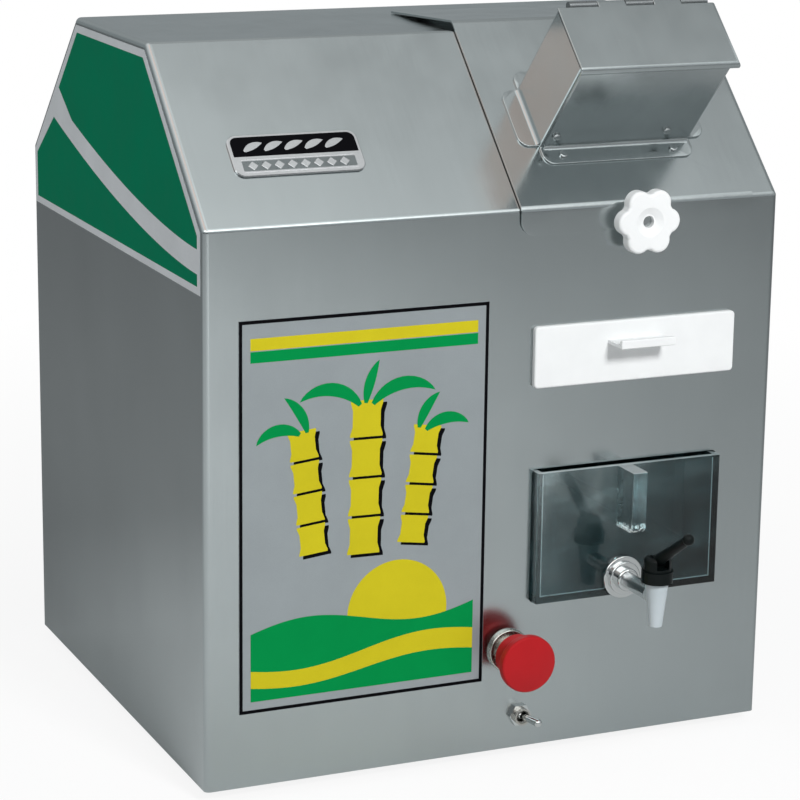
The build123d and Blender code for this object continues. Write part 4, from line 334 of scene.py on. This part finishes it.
def tap_plastic(name):
    """Milky plastic of the tap's nozzle; the shank behind it is plated."""
    milky_rough, plated_rough = 0.34, 0.24
    made, tree, shader = material(name, (0.52, 0.58, 0.61), milky_rough, Specular_IOR_Level=0.4)
    at = where(tree)
    plated = above(tree, parted(tree, at)[1], TAP_SHANK_Y)
    cloud = noise(tree, at, scale=60, detail=3, roughness=0.5)
    milky = mixed(tree, ranged(tree, cloud, NOISE_RANGE), (0.50, 0.565, 0.595), (0.56, 0.62, 0.65))
    feed(
        tree,
        shader,
        Base_Color=mixed(tree, plated, milky, (0.66, 0.68, 0.69)),
        Metallic=plated,
        Roughness=ranged(tree, plated, (0, 1), (milky_rough, plated_rough)),
    )
    bumped(tree, shader, noise(tree, at, scale=700, detail=2, roughness=0.5), strength=0.02, distance=0.0003)
    return made


CUT_CLEAR = (0.52, 0.57, 0.58)
slots = {
    "steel": brushed_steel("steel_brushed", (0.452, 0.492, 0.497), 0.19, smudge=2.0),
    "bright_steel": brushed_steel("steel_satin", (0.50, 0.53, 0.535), 0.2),
    "chrome": turned_metal("chrome_bright", (0.60, 0.62, 0.62), 0.07, grain=300.0, spots=0.05),
    "switch_metal": turned_metal("switch_nickel", (0.46, 0.45, 0.42), 0.24),
    "mill_steel": turned_metal("mill_machined", (0.40, 0.41, 0.42), 0.36),
    "gear_steel": turned_metal("gear_oiled", (0.22, 0.22, 0.225), 0.34),
    "bronze": turned_metal("bush_bronze", (0.52, 0.34, 0.14), 0.32),
    "drive_paint": moulded("drive_enamel", (0.055, 0.075, 0.095), 0.4, grain=260.0, depth=0.12, spread=0.08),
    "white_plastic": moulded(
        "plastic_white", (0.85, 0.865, 0.865), 0.42, spread=0.02, Specular_IOR_Level=0.25
    ),
    "black_plastic": moulded(
        "plastic_black", (0.003, 0.005, 0.005), 0.34, spread=0.15, Specular_IOR_Level=0.15
    ),
    "tap_seal": moulded("seal_grey", (0.35, 0.35, 0.33), 0.6),
    "red_plastic": moulded("plastic_red", (0.44, 0.011, 0.015), 0.4, spread=0.05, Specular_IOR_Level=0.2),
    "clear_plastic": clear_plastic(
        "plastic_clear", (0.82, 0.98, 1.0), (0.33, 0.52, 0.55), haze=(0.0, 0.06), gloss=0.35
    ),
    "rubber": moulded("rubber_black", (0.018, 0.018, 0.018), 0.75, grain=500.0, depth=0.12, spread=0.15),
    "front_print": printed("film_silver", (0.34, 0.375, 0.39), 0.4, 0.4),
    "side_print": printed("film_pale", (0.68, 0.71, 0.725), 0.42, 0.1),
    "badge": turned_metal("badge_metal", (0.60, 0.61, 0.62), 0.16, grain=500.0, spots=0.04),
}
hinge_steel = turned_metal("hinge_steel", (0.25, 0.265, 0.27), 0.3)
own_finish = {
    "tap_body": tap_plastic("plastic_milky"),
    "tank_handle": clear_plastic(
        "plastic_cut", CUT_CLEAR, CUT_CLEAR, haze=(0.01, 0.03), gloss=0.5, chipped_with_glints=True
    ),
    "hinge_leaf": hinge_steel,
    "hinge_pin": hinge_steel,
}
for row in frame["record"]["subparts"]:
    mesh = nodes[row["node"]].data
    mesh.materials.clear()
    mesh.materials.append(own_finish.get(row["node"], slots[row["material_slot"]]))
yellow_ink = printed("ink_yellow", (0.59, 0.51, 0.018))
green_ink = printed("ink_green", (0.002, 0.26, 0.062))
deep_green_ink = printed("ink_deep_green", (0.0006, 0.195, 0.096))
black_ink = printed("ink_black", (0.004, 0.004, 0.005))
hollow_grey = turned_metal("badge_sunk", (0.20, 0.22, 0.225), 0.3, grain=500.0, spots=0.15)
glue = moulded("glue_clear", (0.27, 0.30, 0.31), 0.3, Transmission_Weight=0.25)


# Broken edges that catch the light, with their widths in metres
WELD_WITHIN = 0.00001
SHEET_ANGLE = 50.0


def break_edges(made, width, angle=30.0):
    """Bevel a piece's edges that are sharper than an angle in degrees."""
    broken = made.modifiers.new("edges", "BEVEL")
    broken.width = width
    broken.segments = 2
    broken.limit_method = "ANGLE"
    broken.angle_limit = math.radians(angle)


for name, width in (
    ("feed_cover", 0.0004),
    ("feed_chute", 0.0002),
    ("chute_lid", 0.0004),
    ("bagasse_chute", 0.0004),
):
    joined = nodes[name].modifiers.new("joined", "WELD")
    joined.merge_threshold = WELD_WITHIN
    break_edges(nodes[name], width, SHEET_ANGLE)
    shaded = nodes[name].modifiers.new("shading", "WEIGHTED_NORMAL")
    shaded.weight = 100
    shaded.keep_sharp = False


# Printed and embossed shapes
def shapes(name, outlines, plane, heights, finish, body="cabinet", bevel=0.0):
    """Closed shapes on a plane, from one height over it to another, all in millimetres."""
    origin, across, up = plane
    out = across.cross(up)
    built = bmesh.new()
    for outline in outlines:
        low, high = (
            [built.verts.new(origin + (across * u + up * v + out * height) / 1000) for u, v in outline]
            for height in heights
        )
        built.faces.new(list(reversed(low)))
        built.faces.new(high)
        for i in range(len(outline)):
            j = (i + 1) % len(outline)
            built.faces.new((low[i], low[j], high[j], high[i]))
    bmesh.ops.recalc_face_normals(built, faces=built.faces)
    mesh = bpy.data.meshes.new(name)
    built.to_mesh(mesh)
    built.free()
    mesh.materials.append(finish)
    made = bpy.data.objects.new(name, mesh)
    scene.collection.objects.link(made)
    if bevel:
        break_edges(made, bevel / 1000)
    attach(made, body)


def box_outline(left, low, right, high):
    """A rectangle."""
    return [(left, low), (right, low), (right, high), (left, high)]


def ring_outlines(left, low, right, high, width):
    """Four mitred strips round a rectangle."""
    inner = box_outline(left + width, low + width, right - width, high - width)
    outer = box_outline(left, low, right, high)
    return [[outer[i], outer[(i + 1) % 4], inner[(i + 1) % 4], inner[i]] for i in range(4)]


def rounded_box(left, low, right, high, radii, steps=8):
    """A rectangle with rounded corners; a radius for each corner from the lower left round."""
    corners = [(left, low, 180), (right, low, 270), (right, high, 0), (left, high, 90)]
    outline = []
    for (u, v, start), radius in zip(corners, radii):
        centre_u = u + radius if u == left else u - radius
        centre_v = v + radius if v == low else v - radius
        for i in range(steps + 1):
            angle = math.radians(start + 90 * i / steps)
            outline.append((centre_u + radius * math.cos(angle), centre_v + radius * math.sin(angle)))
    return outline


def round_outline(centre, radius, count=64):
    """A circle."""
    angles = [2 * math.pi * i / count for i in range(count)]
    return [(centre[0] + radius * math.cos(a), centre[1] + radius * math.sin(a)) for a in angles]


def turned(outline, centre, degrees):
    """An outline turned about a point."""
    c, s = math.cos(math.radians(degrees)), math.sin(math.radians(degrees))
    arms = [(u - centre[0], v - centre[1]) for u, v in outline]
    return [(centre[0] + u * c - v * s, centre[1] + u * s + v * c) for u, v in arms]


def moved(outline, du, dv):
    """An outline moved across and up."""
    return [(u + du, v + dv) for u, v in outline]


def cane(centre, width, low, high, joints, lean, gap=1.8, waist=0.86, swell=0.14):
    """One stalk as waisted lengths with gaps between them, leaning about its foot."""
    lengths = []
    step = (high - low) / joints
    half = width / 2
    for i in range(joints):
        foot, head = low + i * step + gap / 2, low + (i + 1) * step - gap / 2
        rise = (head - foot) * swell
        right = [(half, foot), (half, foot + rise * 0.5), (half * waist, foot + 2 * rise)]
        right += [(half * waist, head - 2 * rise), (half, head - rise * 0.5), (half, head)]
        outline = right + [(-u, v) for u, v in reversed(right)]
        lengths.append(turned(moved(outline, centre, 0), (centre, low), lean))
    return lengths


def leaf(root, length, width, angle, droop, steps=14):
    """A long blade from its root, bending over towards its tip."""
    left, right = [], []
    u, v = root
    heading = math.radians(angle)
    for i in range(steps + 1):
        fullness = math.sin(math.pi * min(1.0, i / steps * 0.92 + 0.08)) ** 0.8
        side_u, side_v = math.sin(heading) * width / 2 * fullness, math.cos(heading) * width / 2 * fullness
        left.append((u - side_u, v + side_v))
        right.append((u + side_u, v - side_v))
        u += length / steps * math.cos(heading)
        v += length / steps * math.sin(heading)
        heading -= math.radians(droop) / steps
    return right + list(reversed(left))


def wave(left, right, base, rise, swing, low, count=40):
    """A field with a wavy upper edge down to a straight lower one."""
    top = []
    for i in range(count + 1):
        t = i / count
        height = base + rise * t + swing * math.sin(2 * math.pi * (t * 0.9 + 0.05))
        top.append((left + (right - left) * t, height))
    return [(left, low), (right, low)] + list(reversed(top))


# Front label: a black rule, stripes, cane stalks with their shadow, and a sun over waves of green
label_low, label_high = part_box("front_label")
LABEL_W = (label_high.x - label_low.x) * 1000
LABEL_H = (label_high.z - label_low.z) * 1000
RULE_INSET, RULE_W = 0.2, 2.3
MARGIN = 8.0
PICTURE = (MARGIN, LABEL_W - MARGIN)
UPPER_STRIPE, LOWER_STRIPE = (244.0, 252.0), (236.0, 243.4)
SHADOW = (2.6, -2.2)
SUN_AT, SUN_R = (112.0, 58.0), 36.0
INK_LIFT, INK_STEP = 0.005, 0.03


def front_print(name, outlines, layer, finish):
    """Ink on the front label; each layer lies over the one before."""
    heights = (INK_LIFT + INK_STEP * layer, INK_STEP + INK_STEP * layer)
    shapes(name, outlines, (label_low, ACROSS, UP), heights, finish)


stalks = []
for centre, width, low, high, lean in (
    (52.0, 20.0, 104.0, 190.0, 6.0),
    (87.0, 23.0, 100.0, 206.0, -1.0),
    (121.0, 20.0, 104.0, 186.0, -8.0),
):
    stalks += cane(centre, width, low, high, joints=4, lean=lean)
blades = [
    leaf(root, length, width, angle, droop)
    for root, length, width, angle, droop in (
        ((42, 186), 34, 8, 146, -92),
        ((47, 187), 30, 7, 100, -50),
        ((84, 202), 48, 9, 128, -96),
        ((88, 203), 30, 7, 84, 26),
        ((93, 202), 50, 9, 50, 92),
        ((131, 181), 34, 8, 44, 86),
        ((126, 183), 28, 7, 78, 44),
    )
]
rule = ring_outlines(RULE_INSET, RULE_INSET, LABEL_W - RULE_INSET, LABEL_H - RULE_INSET, RULE_W)
front_print("front_rule", rule, 0, black_ink)
upper_stripe, lower_stripe = (
    box_outline(PICTURE[0], low, PICTURE[1], high) for low, high in (UPPER_STRIPE, LOWER_STRIPE)
)
front_print("front_upper_stripe", [upper_stripe], 0, yellow_ink)
front_print("front_lower_stripe", [lower_stripe], 0, green_ink)
front_print("front_stalk_shadow", [moved(stalk, *SHADOW) for stalk in stalks], 0, black_ink)
front_print("front_stalks", stalks, 1, yellow_ink)
front_print("front_blades", blades, 2, green_ink)
front_print("front_sun", [round_outline(SUN_AT, SUN_R)], 0, yellow_ink)
front_print("front_hill", [wave(*PICTURE, base=52, rise=10, swing=8, low=MARGIN)], 1, green_ink)
front_print("front_field", [wave(*PICTURE, base=31, rise=7, swing=-6, low=MARGIN)], 2, yellow_ink)
front_print("front_furrow", [wave(*PICTURE, base=19, rise=5, swing=-5, low=MARGIN)], 3, green_ink)

# Side label: green fields parted by a pale sweep, by depth and height on the left side
side_at = Vector((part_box("side_label")[0].x, FRONT_Y / 1000, FOOT_H / 1000))
SIDE_INK = (0.002, 0.01)
FIELD_FRONT, FIELD_REAR = 10.0, 360.0
FIELD_LOW, FIELD_TOP = 337.0, 468.8
FIELD_SHOULDER = 369.6
REAR_DEPTH, REAR_H, REAR_PITCH = 365.0, 365.0, 0.96
SWEEP_H, SWEEP_RISE, SWEEP_BEND = 352.0, 70.0, 1.6
SWEEP_ABOVE, SWEEP_BELOW = 9.0, 7.0
SWEEP_STEPS = 40


def side_print(name, outline, finish):
    """Ink on the side label, from an outline of depths and heights."""
    mirrored = [(-depth, height) for depth, height in outline]
    shapes(name, [mirrored], (side_at, -BACK, UP), SIDE_INK, finish)


def sweep(first, last):
    """Depths and heights along the pale sweep, from one step to another."""
    for i in range(first, last + 1):
        t = i / SWEEP_STEPS
        yield FIELD_FRONT + (FIELD_REAR - FIELD_FRONT) * t, SWEEP_H + SWEEP_RISE * t**SWEEP_BEND


def rear_edge(depth):
    """Height of the label's rear slope, with its margin off."""
    return REAR_H + (REAR_DEPTH - depth) * REAR_PITCH


upper_field = [(depth, height + SWEEP_ABOVE) for depth, height in sweep(0, 30)]
upper_field += [(303.0, 424.5), (257.0, FIELD_TOP), (113.0, FIELD_TOP), (FIELD_FRONT, FIELD_SHOULDER)]
lower_field = [(FIELD_REAR, FIELD_LOW), (FIELD_FRONT, FIELD_LOW)]
lower_field += [(depth, min(height - SWEEP_BELOW, rear_edge(depth))) for depth, height in sweep(0, 35)]
lower_field += [(FIELD_REAR, FIELD_SHOULDER)]
side_print("side_upper_field", upper_field, deep_green_ink)
side_print("side_lower_field", lower_field, deep_green_ink)

# Badge: black enamel over a sunk lower field, with raised bright leaves, beads and ribs
BADGE_INSET, BADGE_ALONG = 33.0, 39.0
badge_at = place(BADGE_INSET - CABINET_W / 2, 0, SHOULDER_H) + SLOPE * BADGE_ALONG / 1000
BADGE_FIELD = (6.0, 84.0)
ENAMEL, HOLLOW, RAISED, RIBBED = (1.5, 1.64), (1.5, 1.62), (1.55, 1.95), (1.55, 1.85)
LEAF_PITCH, BEAD_PITCH, BEAD, RIB = 14, 9, 5, 0.8


def badge_shape(name, outlines, heights, finish, bevel=0.0):
    """A part of the badge's face, on the slope."""
    shapes(name, outlines, (badge_at, ACROSS, SLOPE), heights, finish, bevel=bevel)


enamel = rounded_box(2.0, 15.5, 88.0, 31.0, (0.4, 0.4, 5.2, 5.2))
hollow = rounded_box(BADGE_FIELD[0], 4.0, BADGE_FIELD[1], 12.0, (0.8, 0.8, 0.8, 0.8))
leaves = [leaf((10 + LEAF_PITCH * i, 19.5), 15, 5.2, 38, 30) for i in range(5)]
bead_centres = [(13 + BEAD_PITCH * i, 7.9) for i in range(8)]
beads = [
    turned(box_outline(u - BEAD / 2, v - BEAD / 2, u + BEAD / 2, v + BEAD / 2), (u, v), 45)
    for u, v in bead_centres
]
ribs = [box_outline(BADGE_FIELD[0], low, BADGE_FIELD[1], low + RIB) for low in (2.6, 12.6)]
badge_shape("badge_enamel", [enamel], ENAMEL, black_ink)
badge_shape("badge_hollows", [hollow], HOLLOW, hollow_grey)
badge_shape("badge_leaves", leaves, RAISED, slots["badge"], 0.12)
badge_shape("badge_beads", beads, RAISED, slots["badge"], 0.2)
badge_shape("badge_ribs", ribs, RIBBED, slots["badge"], 0.15)

# Tank: glued seams in the front corners and along the floor, behind the clear sheet
tank_at = Vector((TANK_LEFT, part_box("juice_tank")[0].y, TANK_LOW))
TANK_W = (TANK_RIGHT - TANK_LEFT) * 1000
TANK_H = (TANK_HIGH - TANK_LOW) * 1000
SEAM = 0.8
SEAM_BELOW_RIM = 2.0
seam = [(TANK_WALL, TANK_WALL), (TANK_WALL + SEAM, TANK_WALL), (TANK_WALL, TANK_WALL + SEAM)]
right_seam = [(TANK_W - u, v) for u, v in (seam[0], seam[2], seam[1])]
upright = (TANK_WALL, TANK_H - SEAM_BELOW_RIM)
between = (TANK_WALL + SEAM, TANK_W - TANK_WALL - SEAM)
shapes("tank_seams", [seam, right_seam], (tank_at, ACROSS, BACK), upright, glue, "tank")
shapes("tank_floor_seam", [seam], (tank_at, BACK, UP), between, glue, "tank")

# Floor: white to the eye except for the object's shadow, and uneven grey in metal
WHITE = (1, 1, 1)
FLOOR_HALF = 9.0
FLOOR_DROP = 0.0002
FLOOR_SEEN, FLOOR_FILL = (0.95, 0.95, 0.95), (0.6, 0.6, 0.6)
AHEAD_LEFT, AHEAD_RIGHT = (0.80, 0.81, 0.81), (0.41, 0.42, 0.42)
BEHIND_NEAR, BEHIND_FAR = (0.65, 0.66, 0.66), (0.43, 0.44, 0.44)


def floor_pale():
    """The floor's material; the eye sees it glow, fully so away from the object."""
    made, tree, shader = material("floor_pale", FLOOR_SEEN, 0.9, Specular_IOR_Level=0.0)
    sight = add(tree, "LightPath").outputs
    at = where(tree)
    x, y, _ = parted(tree, at)
    rightward = arithmetic(tree, "POWER", ranged(tree, x, (0.03, 0.68)), 0.7)
    ahead = mixed(tree, rightward, AHEAD_LEFT, AHEAD_RIGHT)
    behind = mixed(tree, ranged(tree, y, (0.22, 0.5)), BEHIND_NEAR, BEHIND_FAR)
    in_metal = mixed(tree, ranged(tree, y, (-0.25, 0.15)), ahead, behind)
    lit = mixed(tree, sight["Is Camera Ray"], FLOOR_FILL, FLOOR_SEEN)
    feed(tree, shader, Base_Color=mixed(tree, sight["Is Glossy Ray"], lit, in_metal))
    away = add(tree, "VectorMath", {0: at}, operation="LENGTH").outputs[1]
    glowing = times(tree, sight["Is Camera Ray"], ranged(tree, away, (0.35, 1.3), (0.88, 1)))
    glow = add(tree, "Emission", {"Color": (*WHITE, 1), "Strength": 1.0})
    show(tree, glowing, shader, glow)
    return made


floor_mesh = bpy.data.meshes.new("floor")
floor_corners = box_outline(-FLOOR_HALF, -FLOOR_HALF, FLOOR_HALF, FLOOR_HALF)
floor_mesh.from_pydata([(x, y, 0) for x, y in floor_corners], [], [(0, 1, 2, 3)])
floor_mesh.materials.append(floor_pale())
floor = bpy.data.objects.new("floor", floor_mesh)
scene.collection.objects.link(floor)
floor.location.z = -FLOOR_DROP

# World: white to the eye, a soft room to metal and clear plastic, and an even fill for everything else
FILL = (0.36, 0.37, 0.38)
WALL_AHEAD, WALL_BEHIND, WALL_GAP = (0.50, 0.52, 0.53), (0.31, 0.34, 0.35), (0.05, 0.055, 0.06)
CEILING_MIDDLE, CEILING_RIGHT = (0.71, 0.725, 0.725), (0.455, 0.47, 0.475)
CEILING_LEFT, CEILING_WARM = (1.1, 1.1, 1.1), (1.36, 1.06, 0.96)
SOFTBOX = (3.0, 3.03, 3.03)


def room_color(tree):
    """The room that metal and clear plastic mirror, by direction: X to the right, Y back and Z up."""
    way = add(tree, "TexCoord").outputs["Generated"]
    x, y, z = parted(tree, way)

    def rising(value, start, end):
        return ranged(tree, value, (start, end))

    def falling(value, start, end):
        return ranged(tree, value, (start, end), (1, 0))

    # Walls, paler ahead, with dark gaps ahead on the left
    walls = mixed(tree, rising(y, -0.6, 0.6), WALL_AHEAD, WALL_BEHIND)
    waves = add(tree, "TexWave", {"Vector": way, "Scale": 1.7, "Distortion": 3.0, "Detail": 1.0})
    left_ahead = times(tree, falling(x, 0.1, 0.25), falling(y, -0.25, -0.05))
    gaps = times(tree, falling(waves.outputs[1], 0.35, 0.65), left_ahead)
    walls = mixed(tree, gaps, walls, WALL_GAP)

    # Ceiling, brightest a little ahead, and evenly bright with one warm patch on the left
    lift = ranged(tree, y, (-0.1, -0.2), (0.82, 2.1))
    lift = times(tree, lift, ranged(tree, y, (-0.6, -0.34), (0.55, 1)))
    ceiling = mixed(tree, rising(x, 0.32, 0.52), CEILING_MIDDLE, CEILING_RIGHT)
    ceiling = add(tree, "VectorMath", {0: ceiling, "Scale": lift}, operation="SCALE").outputs[0]
    warm = times(tree, rising(x, -0.62, -0.5), falling(x, -0.3, -0.18))
    warm = times(tree, warm, falling(y, 0.0, 0.12))
    on_left = mixed(tree, warm, CEILING_LEFT, CEILING_WARM)
    ceiling = mixed(tree, rising(x, -0.3, 0.05), on_left, ceiling)
    room = mixed(tree, rising(z, 0.2, 0.8), walls, ceiling)

    # Softbox ahead, which lights the shoulder's line up to the cover
    box_high = times(tree, rising(z, 0.4, 0.5), falling(z, 0.74, 0.82))
    box_wide = times(tree, ranged(tree, x, (0.41, 0.44), (1, 0.04)), falling(y, -0.3, -0.1))
    return mixed(tree, times(tree, box_high, box_wide), room, SOFTBOX)


world = bpy.data.worlds.new("studio")
scene.world = world
world.use_nodes = True
tree = world.node_tree
tree.nodes.clear()
sight = add(tree, "LightPath").outputs
mirrored = arithmetic(tree, "MAXIMUM", sight["Is Glossy Ray"], sight["Is Transmission Ray"])
color = mixed(tree, mirrored, FILL, room_color(tree))
color = mixed(tree, sight["Is Camera Ray"], color, WHITE)
background = add(tree, "Background", {"Color": color, "Strength": 1.0})
tree.links.new(background.outputs[0], add(tree, "OutputWorld").inputs["Surface"])


# Lamps
def lamp(name, at, aim, size, power):
    """An area lamp that metal doesn't mirror, aimed at a point."""
    data = bpy.data.lights.new(name, "AREA")
    data.shape = "RECTANGLE"
    data.size, data.size_y = size
    data.energy = power
    made = bpy.data.objects.new(name, data)
    scene.collection.objects.link(made)
    made.location = at
    made.rotation_mode = "QUATERNION"
    made.rotation_quaternion = (Vector(aim) - Vector(at)).to_track_quat("-Z", "Y")
    made.visible_glossy = False


lamp("key", at=(0.2, -2.1, 1.55), aim=(0, 0, 0.25), size=(0.45, 0.45), power=40)
lamp("left", at=(-1.7, 0.1, 1.4), aim=(0, 0, 0.35), size=(0.6, 1.4), power=7)

# Camera, fitted to the cabinet's corners in the photo
CAMERA_AT = place(-779.5, -1603.0, 699.5)
CAMERA_AZIMUTH, CAMERA_ELEVATION, CAMERA_ROLL = -23.82, 14.27, 0.75
SENSOR_W, FOCAL_LENGTH = 36.0, 124.8


def camera_matrix(azimuth, elevation, roll, at):
    """Place and orientation from the viewing angles, with the picture's roll."""
    a, e, r = (math.radians(angle) for angle in (azimuth, elevation, roll))
    away = Vector((math.sin(a) * math.cos(e), -math.cos(a) * math.cos(e), math.sin(e)))
    level = UP.cross(away).normalized()
    raised = away.cross(level)
    right = level * math.cos(r) + raised * math.sin(r)
    up = raised * math.cos(r) - level * math.sin(r)
    made = Matrix((right, up, away)).transposed().to_4x4()
    made.translation = at
    return made


lens = bpy.data.cameras.new("camera")
lens.sensor_width = SENSOR_W
lens.lens = FOCAL_LENGTH
lens.clip_start, lens.clip_end = 0.05, 60
camera = bpy.data.objects.new("camera", lens)
scene.collection.objects.link(camera)
camera.matrix_world = camera_matrix(CAMERA_AZIMUTH, CAMERA_ELEVATION, CAMERA_ROLL, CAMERA_AT)
scene.camera = camera
scene.view_settings.view_transform = "Standard"
